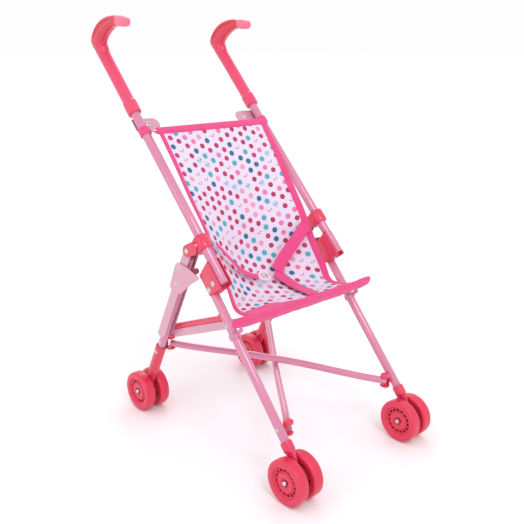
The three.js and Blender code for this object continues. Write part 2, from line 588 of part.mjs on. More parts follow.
for (const s of [-1, 1]) {
  const T = tag(s);
  const X = s * HAND_X;
  // bound side edge of the sling
  const part = (a, b, f) => a.map((v, i) => v + (b[i] - v) * f);
  const path = [part(EDGE[0], EDGE[1], 0.06), ...EDGE.slice(1, 7), part(EDGE[6], EDGE[7], 0.85)];
  web(`side_binding_${T}`, path.map((e) => [s * (e[0] + 2.1), e[1], e[2]]), path.map(() => [1, 0, 0]), 2.6, 2.4);
  // strap looped round the handle tube, holding the panel's top corner
  const tail = rings([[98.9, 0], [96.2, 1]].map(([x, f]) => {
    const m = mix(along(232, 4), [123, 415], f);
    return [[4, 0.8], [-4, 0.8], [-4, -0.8], [4, -0.8]].map(([a, b]) => [
      s * x, m[0] + a * U[0] + b * N[0], m[1] + a * U[1] + b * N[1]]);
  }));
  mesh(`top_strap_${T}`, rod([X, ...along(227)], [X, ...along(237)], TUBE_R + FIT + 1.5, 14)
    .add(tail)
    .subtract(rod([X, ...along(220)], [X, ...along(245)], TUBE_R + FIT, 14)));
}

root.position.y = -MIDDLE_Y;
export default root;
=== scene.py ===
"""Doll stroller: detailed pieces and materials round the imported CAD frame."""
import math
import random

import bpy
import bmesh
import numpy as np
from mathutils import Matrix, Vector


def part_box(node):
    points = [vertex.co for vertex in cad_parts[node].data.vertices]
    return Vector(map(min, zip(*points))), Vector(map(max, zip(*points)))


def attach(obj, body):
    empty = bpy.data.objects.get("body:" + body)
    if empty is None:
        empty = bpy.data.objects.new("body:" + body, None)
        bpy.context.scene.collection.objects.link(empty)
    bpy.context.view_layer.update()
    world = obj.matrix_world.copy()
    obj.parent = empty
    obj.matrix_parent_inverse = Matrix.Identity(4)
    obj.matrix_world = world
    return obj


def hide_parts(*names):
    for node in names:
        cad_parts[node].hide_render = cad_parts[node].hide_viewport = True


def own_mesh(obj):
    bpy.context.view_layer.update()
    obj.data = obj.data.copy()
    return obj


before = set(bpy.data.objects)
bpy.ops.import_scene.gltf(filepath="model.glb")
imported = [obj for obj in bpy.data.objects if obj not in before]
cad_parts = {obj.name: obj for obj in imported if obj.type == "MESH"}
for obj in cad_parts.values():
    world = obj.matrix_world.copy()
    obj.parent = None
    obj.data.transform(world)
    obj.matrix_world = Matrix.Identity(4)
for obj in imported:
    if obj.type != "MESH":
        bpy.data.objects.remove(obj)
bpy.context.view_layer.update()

# ---------------------------------------------------------------- dimensions
# Millimetres, in the CAD source's own working frame; Y0 below moves them to the row frame.
HAND_X = 105.0
LEG_X = 107.5
TUBE_R = 6.2
LEG_R = 5.8
BAR_R = 4.8
HANDLE_FOOT = (-21.6, 242.2)
HANDLE_ANGLE = math.radians(46.7)
SLEEVE_START = 263.0
TUBE_TOP = 345.0
COLLAR_AT = 56.0
REAR_PIVOT = (36.0, 270.5)
REAR_AXLE = (158.6, 29.0)
FRONT_AXLE = (-155.5, 29.0)
FRONT_KNUCKLE = (-128.0, 79.0)
REAR_KNUCKLE = (114.5, 112.0)
KNUCKLE_IN = 14.2
LEG_HIGH = (-14.0, 215.3)
LEG_LOW = (-142.4, 65.0)
RAIL_FRONT = (-37.0, 188.3)
RAIL_REAR = (104.0, 131.0)
WHEEL_R = 29.0
WHEEL_W = 15.0
WHEEL_GAP = 9.4
WHEEL_SLOTS = 15
HEM = (-66.0, 200.5)
HEM_HALF = 127.5
PANEL_TOP = (119.0, 411.0)
PANEL_HALF = 94.0

low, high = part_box("axle_front_L")
Y0 = (low.y + high.y) / 2 * 1000 - FRONT_AXLE[0]
U = (math.cos(HANDLE_ANGLE), math.sin(HANDLE_ANGLE))
N = (-U[1], U[0])
SIDES = (("L", -1), ("R", 1))


def along(t, n=0.0):
    """(y, z) at t along the handle tube and n in front of its line."""
    return (HANDLE_FOOT[0] + t * U[0] + n * N[0], HANDLE_FOOT[1] + t * U[1] + n * N[1])


def unit(a, b):
    d = math.hypot(b[0] - a[0], b[1] - a[1])
    return ((b[0] - a[0]) / d, (b[1] - a[1]) / d)


LEG_DIR = unit(LEG_HIGH, LEG_LOW)
REAR_DIR = unit(REAR_PIVOT, REAR_AXLE)


def leg_at(y):
    return (y, LEG_HIGH[1] + (y - LEG_HIGH[0]) * LEG_DIR[1] / LEG_DIR[0])


def rear_at(d, n=0.0):
    return (REAR_PIVOT[0] + d * REAR_DIR[0] - n * REAR_DIR[1],
            REAR_PIVOT[1] + d * REAR_DIR[1] + n * REAR_DIR[0])


# ---------------------------------------------------------------- materials
def srgb(r, g, b):
    def one(c):
        c /= 255
        return c / 12.92 if c <= 0.04045 else ((c + 0.055) / 1.055) ** 2.4
    return (one(r), one(g), one(b), 1.0)


class Nodes:
    """Small helper for building a material's node tree."""

    def __init__(self, name):
        self.mat = bpy.data.materials.new(name)
        self.mat.use_nodes = True
        self.tree = self.mat.node_tree
        self.bsdf = self.tree.nodes["Principled BSDF"]

    def add(self, kind, **settings):
        node = self.tree.nodes.new(kind)
        for key, value in settings.items():
            setattr(node, key, value)
        return node

    def link(self, a, b):
        self.tree.links.new(a, b)

    def put(self, socket, value):
        if isinstance(value, bpy.types.NodeSocket):
            self.link(value, socket)
        else:
            socket.default_value = value

    def math(self, op, a, b=None, c=None):
        node = self.add("ShaderNodeMath", operation=op)
        for i, value in enumerate((a, b, c)):
            if value is not None:
                self.put(node.inputs[i], value)
        return node.outputs[0]

    def mix(self, fac, a, b):
        node = self.add("ShaderNodeMix", data_type="RGBA")
        self.put(node.inputs["Factor"], fac)
        self.put(node.inputs["A"], a)
        self.put(node.inputs["B"], b)
        return node.outputs["Result"]

    def ramp(self, value, stops, mode="LINEAR"):
        node = self.add("ShaderNodeValToRGB")
        node.color_ramp.interpolation = mode
        while len(node.color_ramp.elements) < len(stops):
            node.color_ramp.elements.new(0.5)
        for e, (at, colour) in zip(node.color_ramp.elements, stops):
            e.position = at
            e.color = colour
        self.put(node.inputs[0], value)
        return node.outputs[0]

    def noise(self, vector, scale, detail=2.0, rough=0.5):
        node = self.add("ShaderNodeTexNoise")
        node.inputs["Scale"].default_value = scale
        node.inputs["Detail"].default_value = detail
        node.inputs["Roughness"].default_value = rough
        self.link(vector, node.inputs["Vector"])
        return node.outputs["Fac"]

    def bump(self, height, strength, distance):
        node = self.add("ShaderNodeBump")
        node.inputs["Strength"].default_value = strength
        node.inputs["Distance"].default_value = distance
        self.put(node.inputs["Height"], height)
        self.link(node.outputs[0], self.bsdf.inputs["Normal"])

    def set(self, **values):
        for key, value in values.items():
            self.put(self.bsdf.inputs[key.replace("_", " ")], value)


def moulded(name, base, dark, rough, grain=0.25, coat=0.0, under=0.06, tint=False):
    """Injection-moulded plastic: faint flow marks, fine grain, and a painted highlight that makes convex edges a little
    paler.
    """
    n = Nodes(name)
    co = n.add("ShaderNodeTexCoord").outputs["Object"]
    cloud = n.noise(co, 28.0, 3.0)
    fine = n.noise(co, 1500.0, 2.0)
    edge = n.add("ShaderNodeNewGeometry").outputs["Pointiness"]
    body = n.mix(n.math("MULTIPLY", cloud, 0.55), base, dark)
    if tint:    # the thin sleeve and the tip let more light through than the thick hook
        split = n.add("ShaderNodeSeparateXYZ")
        n.link(co, split.inputs[0])
        sleeve = n.ramp(n.math("MULTIPLY_ADD", split.outputs["Z"], 14.0, -6.72), [(0, (1, 1, 1, 1)), (1, (0, 0, 0, 1))])
        tip = n.ramp(n.math("MULTIPLY_ADD", split.outputs["Y"], 180.0, -26.8), [(0, (1, 1, 1, 1)), (1, (0, 0, 0, 1))])
        tip = n.math("MULTIPLY", tip, n.math("GREATER_THAN", split.outputs["Z"], 0.535))
        body = n.mix(n.math("MULTIPLY", sleeve, 0.75), body, srgb(230, 74, 118))
        body = n.mix(n.math("MULTIPLY", tip, 0.8), body, srgb(240, 128, 160))
    # painted highlight: convex edges (high pointiness) turn a little paler
    pale = n.ramp(edge, [(0.50, (0, 0, 0, 1)), (0.60, (0.5, 0.5, 0.5, 1))])
    n.set(Base_Color=n.mix(pale, body, tuple(min(1.0, c * 1.25 + 0.04) for c in base[:3]) + (1,)))
    n.set(Roughness=n.math("MULTIPLY_ADD", cloud, 0.14, rough - 0.07))
    n.set(Coat_Weight=coat, Coat_Roughness=0.12, Specular_IOR_Level=0.5)
    n.set(Subsurface_Weight=under, Subsurface_Scale=0.004)
    n.bump(fine, grain, 0.00012)
    return n.mat


def enamel(name, base, dark, rough=0.2):
    """Glossy stoved enamel on steel: slight orange peel and faint scuffs."""
    n = Nodes(name)
    co = n.add("ShaderNodeTexCoord").outputs["Object"]
    peel = n.noise(co, 260.0, 2.0)
    cloud = n.noise(co, 9.0, 3.0)
    scuff = n.noise(co, 90.0, 6.0, 0.7)
    worn = n.ramp(scuff, [(0.60, (0, 0, 0, 1)), (0.72, (1, 1, 1, 1))])
    n.set(Base_Color=n.mix(n.math("MULTIPLY", cloud, 0.5), base, dark))
    n.set(Roughness=n.math("MULTIPLY_ADD", worn, 0.12, rough))
    n.set(Metallic=0.12, Coat_Weight=0.6, Coat_Roughness=0.08, Specular_IOR_Level=0.6)
    n.bump(peel, 0.12, 0.0002)
    return n.mat


def metal(name, base, rough, dark):
    n = Nodes(name)
    co = n.add("ShaderNodeTexCoord").outputs["Object"]
    spots = n.noise(co, 700.0, 3.0)
    n.set(Base_Color=n.mix(n.math("MULTIPLY", spots, 0.6), base, dark), Metallic=1.0)
    n.set(Roughness=n.math("MULTIPLY_ADD", spots, 0.2, rough))
    n.bump(spots, 0.2, 0.0001)
    return n.mat


def weave_height(n, uv, pitch):
    """Plain weave: over-and-under ridges of the given pitch in millimetres of UV."""
    split = n.add("ShaderNodeSeparateXYZ")
    n.link(uv, split.inputs[0])
    k = 2 * math.pi / pitch
    a = n.math("SINE", n.math("MULTIPLY", split.outputs["X"], k))
    b = n.math("SINE", n.math("MULTIPLY", split.outputs["Y"], k))
    return n.math("MULTIPLY", a, b)


def webbing(name, base, dark, pitch=0.9, stitch=False):
    """Woven binding or webbing with a raised weave, shaded folds and soft sheen."""
    n = Nodes(name)
    uv = n.add("ShaderNodeUVMap").outputs[0]
    weave = weave_height(n, uv, pitch)
    co = n.add("ShaderNodeTexCoord").outputs["Object"]
    cloud = n.noise(co, 45.0, 3.0)
    shade = n.math("MULTIPLY_ADD", weave, 0.10, n.math("MULTIPLY", cloud, 0.55))
    n.set(Base_Color=n.mix(shade, base, dark), Roughness=0.72)
    n.set(Sheen_Weight=0.35, Sheen_Roughness=0.5, Sheen_Tint=(1.0, 0.62, 0.80, 1.0))
    n.set(Specular_IOR_Level=0.3)
    n.bump(weave, 0.4, 0.00025)
    return n.mat


DOT_PITCH = 14.0     # mm between neighbouring dots across a row
ROW_PITCH = 12.1
PALETTE = (
    (0.00, srgb(172, 4, 78)), (0.32, srgb(192, 18, 96)), (0.50, srgb(232, 112, 162)),
    (0.62, srgb(16, 88, 128)), (0.74, srgb(74, 160, 178)), (0.88, srgb(232, 150, 184)),
)


def dotted(name, wash):
    """Printed plain weave: staggered dots in several colours, pale halos and tiny sprigs."""
    n = Nodes(name)
    uv = n.add("ShaderNodeUVMap").outputs[0]
    split = n.add("ShaderNodeSeparateXYZ")
    n.link(uv, split.inputs[0])
    turn = math.radians(28)
    px = n.math("ADD", n.math("MULTIPLY", split.outputs["X"], math.cos(turn)),
                n.math("MULTIPLY", split.outputs["Y"], math.sin(turn)))
    py = n.math("SUBTRACT", n.math("MULTIPLY", split.outputs["Y"], math.cos(turn)),
                n.math("MULTIPLY", split.outputs["X"], math.sin(turn)))
    gy = n.math("DIVIDE", py, ROW_PITCH)
    row = n.math("FLOOR", gy)
    odd = n.math("FLOORED_MODULO", row, 2.0)
    gx = n.math("MULTIPLY_ADD", odd, 0.5, n.math("DIVIDE", px, DOT_PITCH))
    col = n.math("FLOOR", gx)
    cell = n.add("ShaderNodeCombineXYZ")
    n.link(col, cell.inputs[0])
    n.link(row, cell.inputs[1])
    rand = n.add("ShaderNodeTexWhiteNoise", noise_dimensions="2D")
    n.link(cell.outputs[0], rand.inputs["Vector"])
    pick = rand.outputs["Value"]
    tone = n.add("ShaderNodeSeparateColor")
    n.link(rand.outputs["Color"], tone.inputs[0])
    jx = n.math("MULTIPLY_ADD", tone.outputs[0], 2.2, -1.1)
    jy = n.math("MULTIPLY_ADD", tone.outputs[1], 2.0, -1.0)
    lx = n.math("ADD", n.math("MULTIPLY", n.math("SUBTRACT", n.math("SUBTRACT", gx, col), 0.5), DOT_PITCH), jx)
    ly = n.math("ADD", n.math("MULTIPLY", n.math("SUBTRACT", n.math("SUBTRACT", gy, row), 0.5), ROW_PITCH), jy)
    dist = n.math("SQRT", n.math("ADD", n.math("MULTIPLY", lx, lx), n.math("MULTIPLY", ly, ly)))
    sprig = n.math("LESS_THAN", n.math("ABSOLUTE", n.math("SUBTRACT", tone.outputs[2], 0.5)), 0.09)
    plain = n.math("SUBTRACT", 1.0, sprig)
    dot = n.math("MULTIPLY", n.ramp(n.math("DIVIDE", dist, 7.1),
                                    [(0.0, (1, 1, 1, 1)), (0.49, (1, 1, 1, 1)), (0.57, (0, 0, 0, 1))]), plain)
    eye = n.math("MULTIPLY", n.ramp(n.math("DIVIDE", dist, 7.1),
                                    [(0.10, (1, 1, 1, 1)), (0.22, (0, 0, 0, 1))]), 0.35)
    colour = n.ramp(pick, list(PALETTE), "CONSTANT")
    colour = n.mix(n.math("MULTIPLY", eye, 0.3), colour, (1, 0.85, 0.9, 1))
    bluish = n.math("MULTIPLY", n.math("GREATER_THAN", pick, 0.60), n.math("LESS_THAN", pick, 0.90))
    halo = n.math("MULTIPLY", n.ramp(n.math("DIVIDE", dist, 10.0),
                                     [(0.30, (1, 1, 1, 1)), (0.62, (0, 0, 0, 1))]), bluish)
    blush = n.math("MULTIPLY", n.ramp(n.math("DIVIDE", dist, 10.0),
                                      [(0.30, (1, 1, 1, 1)), (0.55, (0, 0, 0, 1))]),
                   n.math("MULTIPLY", n.math("SUBTRACT", 1.0, bluish), plain))
    mottled = n.noise(uv, 0.35, 3.0)
    ground = n.mix(n.ramp(mottled, [(0.42, (0, 0, 0, 1)), (0.60, (1, 1, 1, 1))]),
                   srgb(240, 220, 236), srgb(218, 216, 240))
    specks = n.noise(uv, 1.1, 2.0, 0.7)
    ground = n.mix(n.math("MULTIPLY", n.ramp(specks, [(0.58, (0, 0, 0, 1)), (0.66, (1, 1, 1, 1))]), 0.45), ground,
                   srgb(226, 140, 184))
    ground = n.mix(n.math("MULTIPLY", blush, 0.5), ground, srgb(240, 196, 220))
    ground = n.mix(n.math("MULTIPLY", halo, 0.75), ground, srgb(160, 208, 236))
    # sprigs: a short curved stem with a berry at each end
    stem_r = n.math("SQRT", n.math("ADD", n.math("MULTIPLY", lx, lx),
                                   n.math("POWER", n.math("SUBTRACT", ly, 1.6), 2.0)))
    stem = n.math("MULTIPLY", n.math("LESS_THAN", n.math("ABSOLUTE", n.math("SUBTRACT", stem_r, 2.6)), 0.42),
                  n.math("LESS_THAN", ly, 0.9))
    berry_a = n.math("LESS_THAN", n.math("ADD", n.math("POWER", n.math("SUBTRACT", lx, 2.6), 2.0),
                                         n.math("POWER", n.math("SUBTRACT", ly, 0.8), 2.0)), 0.75)
    berry_b = n.math("LESS_THAN", n.math("ADD", n.math("POWER", n.math("ADD", lx, 2.4), 2.0),
                                         n.math("POWER", n.math("SUBTRACT", ly, 1.4), 2.0)), 1.3)
    ground = n.mix(n.math("MULTIPLY", n.math("MULTIPLY", stem, sprig), 0.8), ground, srgb(196, 62, 118))
    ground = n.mix(n.math("MULTIPLY", berry_b, sprig), ground, srgb(204, 60, 118))
    ground = n.mix(n.math("MULTIPLY", berry_a, sprig), ground, srgb(95, 45, 75))
    cloth = n.mix(n.math("MULTIPLY", dot, 0.98), ground, colour)
    cloth = n.mix(wash, cloth, srgb(240, 226, 236))
    weave = weave_height(n, uv, 0.7)
    folds = n.noise(uv, 0.05, 3.0)
    # painted shade: the cloth darkens towards a grey lilac in the weave's hollows and over broad fold patches
    cloth = n.mix(n.math("MULTIPLY_ADD", weave, 0.02, n.math("MULTIPLY", folds, 0.05)), cloth, (0.42, 0.30, 0.42, 1))
    n.set(Base_Color=cloth, Roughness=0.82, Specular_IOR_Level=0.25)
    n.set(Sheen_Weight=0.06, Sheen_Roughness=0.6)
    n.bump(weave, 0.3, 0.0002)
    return n.mat


CORAL = moulded("coral_plastic", srgb(222, 52, 88), srgb(192, 28, 64), 0.30, coat=0.3)
GRIP = moulded("grip_plastic", srgb(220, 38, 70), srgb(190, 18, 50), 0.28, coat=0.3, tint=True)
# grip plastic darkened to a deeper red for the sunk bands: painted shade of the recess
GROOVE_SHADE = moulded("grip_groove_shade", srgb(222, 22, 46), srgb(196, 14, 40), 0.3, coat=0.2, under=0.0)
# coral plastic darkened for the catch between the plates: painted shade
CORAL_SHADED = moulded("coral_plastic_painted_shade", srgb(140, 30, 62), srgb(112, 22, 50), 0.36)
WHEEL = moulded("wheel_plastic", srgb(222, 44, 80), srgb(192, 26, 60), 0.36, coat=0.15)
PALE = enamel("pale_pink_enamel", srgb(218, 138, 168), srgb(186, 98, 136))
PRESSED = enamel("pressed_steel_enamel", srgb(222, 166, 186), srgb(192, 126, 150), 0.3)
SILVER = metal("rivet_steel", (0.70, 0.68, 0.70, 1), 0.22, (0.46, 0.44, 0.46, 1))
SCREW = metal("dark_screw", (0.30, 0.27, 0.30, 1), 0.35, (0.14, 0.12, 0.14, 1))
BINDING = webbing("hot_pink_binding", srgb(238, 80, 144), srgb(212, 46, 108))
SEAM = webbing("seam_thread", srgb(244, 112, 166), srgb(222, 60, 122), 0.5)
PRINT = dotted("dotted_print", 0.0)
REVERSE = dotted("dotted_print_reverse", 0.62)
WHITE = moulded("white_ring_plastic", srgb(236, 222, 228), srgb(214, 196, 204), 0.22, coat=0.4)


# ---------------------------------------------------------------- mesh helpers
def build(name, verts, faces, mat, body, slot, replaces=(), sharp=35, uv=None, bevel=0.0, flat=False):
    """A mesh object from millimetre points in the working frame; rides on body."""
    mesh = bpy.data.meshes.new(name)
    mesh.from_pydata([(x / 1000, (y + Y0) / 1000, z / 1000) for x, y, z in verts], [], faces)
    mesh.validate()
    bm = bmesh.new()
    bm.from_mesh(mesh)
    bmesh.ops.recalc_face_normals(bm, faces=bm.faces)
    bm.to_mesh(mesh)
    bm.free()
    if not flat:
        mesh.polygons.foreach_set("use_smooth", [True] * len(mesh.polygons))
        mesh.set_sharp_from_angle(angle=math.radians(sharp))
    mesh.materials.append(mat)
    obj = bpy.data.objects.new(name, mesh)
    bpy.context.scene.collection.objects.link(obj)
    if bevel:
        m = obj.modifiers.new("edge", "BEVEL")
        m.width = bevel / 1000
        m.segments = 2
        m.limit_method = "ANGLE"
        m.angle_limit = math.radians(40)
        m.harden_normals = True
    if uv is not None:
        layer = mesh.uv_layers.new(name="UVMap")
        for loop in mesh.loops:
            layer.data[loop.index].uv = uv[loop.vertex_index]
    if replaces:
        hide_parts(*([replaces] if isinstance(replaces, str) else replaces))
    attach(obj, body)
    return obj


def skin(rings, closed=True):
    """Points and faces of a tube through rings of equal counts, with end caps."""
    n = len(rings[0])
    verts = [tuple(p) for ring in rings for p in ring]
    faces = []
    for r in range(len(rings) - 1):
        for i in range(n):
            j = (i + 1) % n
            faces.append((r * n + i, r * n + j, (r + 1) * n + j, (r + 1) * n + i))
    if closed:
        faces.append(tuple(range(n)))
        faces.append(tuple((len(rings) - 1) * n + i for i in range(n)))
    return verts, faces


def basis(d):
    """Two unit vectors across direction d, the first as near to +X as it can be."""
    d = Vector(d).normalized()
    side = Vector((1, 0, 0)) if abs(d.x) < 0.9 else Vector((0, 0, 1))
    p = (side - d * side.dot(d)).normalized()
    return p, d.cross(p)


def turned(name, a, b, profile, mat, body, slot, n=48, **kw):
    """A turned shape about the line a to b: profile is (distance from a, radius)."""
    A, B = Vector(a), Vector(b)
    d = (B - A).normalized()
    p, q = basis(d)
    rings = []
    for t, r in profile:
        c = A + d * t
        rings.append([tuple(c + (p * math.cos(2 * math.pi * k / n) + q * math.sin(2 * math.pi * k / n)) * r)
                      for k in range(n)])
    verts, faces = skin(rings)
    return build(name, verts, faces, mat, body, slot, **kw)


def tube(name, a, b, r, mat, body, slot, **kw):
    L = (Vector(b) - Vector(a)).length
    return turned(name, a, b, [(0, r - 0.7), (0.25, r - 0.25), (0.8, r), (L - 0.8, r), (L - 0.25, r - 0.25),
                               (L, r - 0.7)], mat, body, slot, **kw)


def smooth_path(points, per=8):
    """Catmull-Rom through points of any dimension."""
    pts = [np.array(p, float) for p in points]
    out = []
    for i in range(len(pts) - 1):
        p0, p1, p2, p3 = pts[max(0, i - 1)], pts[i], pts[i + 1], pts[min(len(pts) - 1, i + 2)]
        for k in range(per):
            t = k / per
            out.append(0.5 * (2 * p1 + (p2 - p0) * t + (2 * p0 - 5 * p1 + 4 * p2 - p3) * t * t
                              + (3 * p1 - p0 - 3 * p2 + p3) * t ** 3))
    out.append(pts[-1])
    return out


def plate(name, outline, x0, x1, mat, body, slot, bevel=0.5, **kw):
    """A flat (y, z) outline given thickness from x0 to x1."""
    n = len(outline)
    rings = [[(x, y, z) for y, z in outline] for x in (x0, x1)]
    verts, faces = skin(rings)
    assert n > 2
    return build(name, verts, faces, mat, body, slot, bevel=bevel, **kw)


def arc(c, r, a0, a1, n=10):
    return [(c[0] + r * math.cos(math.radians(a0 + (a1 - a0) * i / n)),
             c[1] + r * math.sin(math.radians(a0 + (a1 - a0) * i / n))) for i in range(n + 1)]


def capsule(a, b, ra, rb, n=12):
    d = math.degrees(math.atan2(b[1] - a[1], b[0] - a[0]))
    return arc(a, ra, d + 90, d + 270, n) + arc(b, rb, d - 90, d + 90, n)


def rivet(name, x, c, s, body, r=2.9, h=1.7, mat=None, slot="axle"):
    """Domed rivet with a thin washer under its head."""
    prof = [(-0.8, r + 0.9), (0.25, r + 0.9), (0.45, r + 0.7), (0.5, r), (h * 0.55, r * 0.95), (h * 0.85, r * 0.68),
            (h, r * 0.3), (h, 0.05)]
    return turned(name, (x, *c), (x + s * 5, *c), prof, mat or SILVER, body, slot, n=24)


def cross_screw(name, at, down, body, r=2.6):
    """Round head with a cross recess, seen under each knuckle."""
    a = Vector(at)
    d = Vector(down)
    return turned(name, a, a + d * 4, [(0, r), (1.2, r), (1.9, r * 0.8), (2.2, r * 0.45), (1.6, r * 0.3), (1.6, 0.05)],
                  SCREW, body, "axle", n=20)


def side_frame(s):
    return "left_frame" if s < 0 else "right_frame"


# ---------------------------------------------------------------- grips
def section(power, n, groove):
    """Unit outline of a grip section: (across, up), with a sunk band on each side face."""
    out = []
    for k in range(n):
        t = 2 * math.pi * k / n
        ct = math.copysign(abs(math.cos(t)) ** power, math.cos(t))
        st = math.copysign(abs(math.sin(t)) ** power, math.sin(t))
        band = max(0.0, min(1.0, (0.34 - abs(st + 0.25)) / 0.07))
        out.append((ct - groove * band * math.copysign(1.0, ct), st, groove * band > 0.08))
    return out


def grip(T, s):
    X = s * HAND_X
    stops = [   # y, z, half depth, half width, squareness, groove, direction
        (*along(SLEEVE_START), 8.2, 8.2, 1, 0, *U), (*along(SLEEVE_START + 0.6), 9.2, 9.2, 1, 0, *U),
        (*along(SLEEVE_START + 2), 9.5, 9.5, 1, 0, *U), (*along(SLEEVE_START + 5), 9.5, 9.5, 1, 0, *U),
        (*along(SLEEVE_START + 6), 9.1, 9.1, 1, 0, *U), (*along(SLEEVE_START + 7), 9.1, 9.1, 1, 0, *U),
        (*along(SLEEVE_START + 8), 9.5, 9.5, 1, 0, *U), (*along(SLEEVE_START + 17), 9.5, 9.5, 1, 0, *U),
        (*along(SLEEVE_START + 18.6), 9.3, 9.3, 1, 0, *U), (*along(SLEEVE_START + 20), 8.5, 8.5, 1, 0, *U),
        (*along(SLEEVE_START + 23), 8.3, 8.3, 1, 0, *U), (*along(SLEEVE_START + 50), 8.3, 8.3, 1, 0, *U),
        (*along(340), 8.4, 8.3, 1, 0, *U), (*along(356), 8.5, 8.3, 1, 0, *U), (*along(366), 8.8, 8.3, 0.96, 0, *U),
        (235.6, 517.2, 11.0, 8.4, 0.88, 0.0, 0.3, 0.95), (240.6, 522.8, 13.2, 8.5, 0.78, 0.0, 0.02, 1),
        (241.4, 526.0, 13.9, 8.5, 0.74, 0.02, -0.1, 1), (240.4, 529.6, 13.9, 8.4, 0.72, 0.05, -0.19, 0.98),
        (238.6, 532.2, 13.7, 8.4, 0.70, 0.17, -0.26, 0.96), (236.6, 534.6, 13.5, 8.4, 0.70, 0.20, -0.33, 0.94),
        (232.6, 538.8, 12.9, 8.3, 0.70, 0.20, -0.47, 0.88), (227.5, 542.6, 12.1, 8.2, 0.70, 0.20, -0.62, 0.78),
        (222.6, 545.4, 11.2, 8.1, 0.70, 0.20, -0.75, 0.66), (217.5, 547.6, 10.3, 8.1, 0.70, 0.20, -0.85, 0.52),
        (208, 550.6, 8.7, 7.9, 0.70, 0.19, -0.96, 0.28), (203, 551.6, 7.9, 7.8, 0.72, 0.18, -0.98, 0.18),
        (198.6, 552.3, 7.4, 7.6, 0.74, 0.14, -1, 0.05), (195.6, 552.5, 7.1, 7.5, 0.76, 0.0, -1, 0),
        (190.5, 552.5, 6.4, 7.2, 0.76, 0.0, -1, 0), (187.6, 552.4, 6.0, 7.0, 0.76, 0.0, -1, 0),
        (186.2, 552.3, 6.2, 7.1, 0.74, 0.0, -1, 0), (185, 552.2, 6.9, 7.7, 0.72, 0.0, -1, 0),
        (182.5, 552, 7.1, 7.9, 0.70, 0.0, -1, -0.04), (176, 551.4, 6.8, 7.7, 0.72, 0.0, -1, -0.1),
        (171, 550.8, 6.2, 7.1, 0.78, 0.0, -1, -0.12), (168.6, 550.5, 5.2, 6.0, 0.84, 0.0, -1, -0.12),
        (167.6, 550.4, 3.4, 4.2, 0.9, 0.0, -1, -0.12),
    ]
    n = 72
    rings, sunk = [], []
    for y, z, a, b, p, g, d0, d1 in smooth_path(stops, 3):
        m = math.hypot(d0, d1)
        outline = section(p, n, max(0.0, g))
        rings.append([(X + b * cx, y - d1 / m * a * cy, z + d0 / m * a * cy) for cx, cy, _ in outline])
        sunk.append([q[2] for q in outline])
    verts, faces = skin(rings)
    obj = build(f"grip_{T}_moulding", verts, faces, GRIP, side_frame(s), "grip", replaces=f"grip_{T}", sharp=50)
    # faces in the sunk band take the darkened red: painted shade of the recess
    obj.data.materials.append(GROOVE_SHADE)
    for r in range(len(rings) - 1):
        for k in range(n):
            if sunk[r][k] and sunk[r][(k + 1) % n]:
                obj.data.polygons[r * n + k].material_index = 1


# ---------------------------------------------------------------- wheels
def wheel(name, T, s, at, body, side, node):
    """One disc: rounded tread, raised rim, sunk slotted web and a small hub, on both faces."""
    w = WHEEL_W
    n = WHEEL_SLOTS * 6
    outer = [(2.6, 3.6), (2.6, 4.9), (4.4, 5.0), (5.0, 4.6), (5.4, 3.2), (6.6, 2.6), (11.5, 2.2), (12.4, 2.4),
             (13.2, 3.6), (14.2, 4.0), (17.4, 4.0), (18.4, 3.8), (19.4, 2.8), (20.2, 0.9), (21.0, 0.15), (22.2, 0.0),
             (26.4, 0.0), (27.8, 0.5), (28.6, 1.6), (28.95, 3.2), (29.0, 5.0)]
    # outer is (radius, depth below that face); the two faces meet at the tread
    face_a = [(r, d) for r, d in outer]
    face_b = [(r, w - d * 0.9) for r, d in outer]
    loopr = face_a + face_b[::-1]
    na = len(face_a)
    slot_from = [i for i, (r, d) in enumerate(face_a) if r == 14.2][0]
    slot_to = [i for i, (r, d) in enumerate(face_a) if r == 17.4][0]
    half = WHEEL_GAP / 2
    # x grows away from the pair's middle; face_b is the outer side of the pair
    verts = []
    for r, d in loopr:
        for k in range(n):
            t = 2 * math.pi * k / n
            verts.append((s * LEG_X + side * (half + d), at[0] + r * math.cos(t), at[1] + r * math.sin(t)))
    m = len(loopr)
    b_from, b_to = m - 1 - slot_from, m - 1 - slot_to
    faces = []
    for i in range(m):
        j = (i + 1) % m
        for k in range(n):
            l = (k + 1) % n
            open_k = k % 6 in (1, 2, 3, 4)
            if open_k and (i == slot_from or i == b_to):
                continue
            faces.append((i * n + k, i * n + l, j * n + l, j * n + k))
    for g in range(WHEEL_SLOTS):
        k0, k1 = g * 6 + 1, g * 6 + 5
        for k in range(k0, k1):
            faces.append((slot_from * n + k, slot_from * n + k + 1, b_from * n + k + 1, b_from * n + k))
            faces.append((slot_to * n + k, slot_to * n + k + 1, b_to * n + k + 1, b_to * n + k))
        for k in (k0, k1):
            k = k % n
            faces.append((slot_from * n + k, slot_to * n + k, b_to * n + k, b_from * n + k))
    assert slot_to == slot_from + 1 and na
    return build(name, verts, faces, WHEEL, body, "wheel", replaces=node, sharp=38)


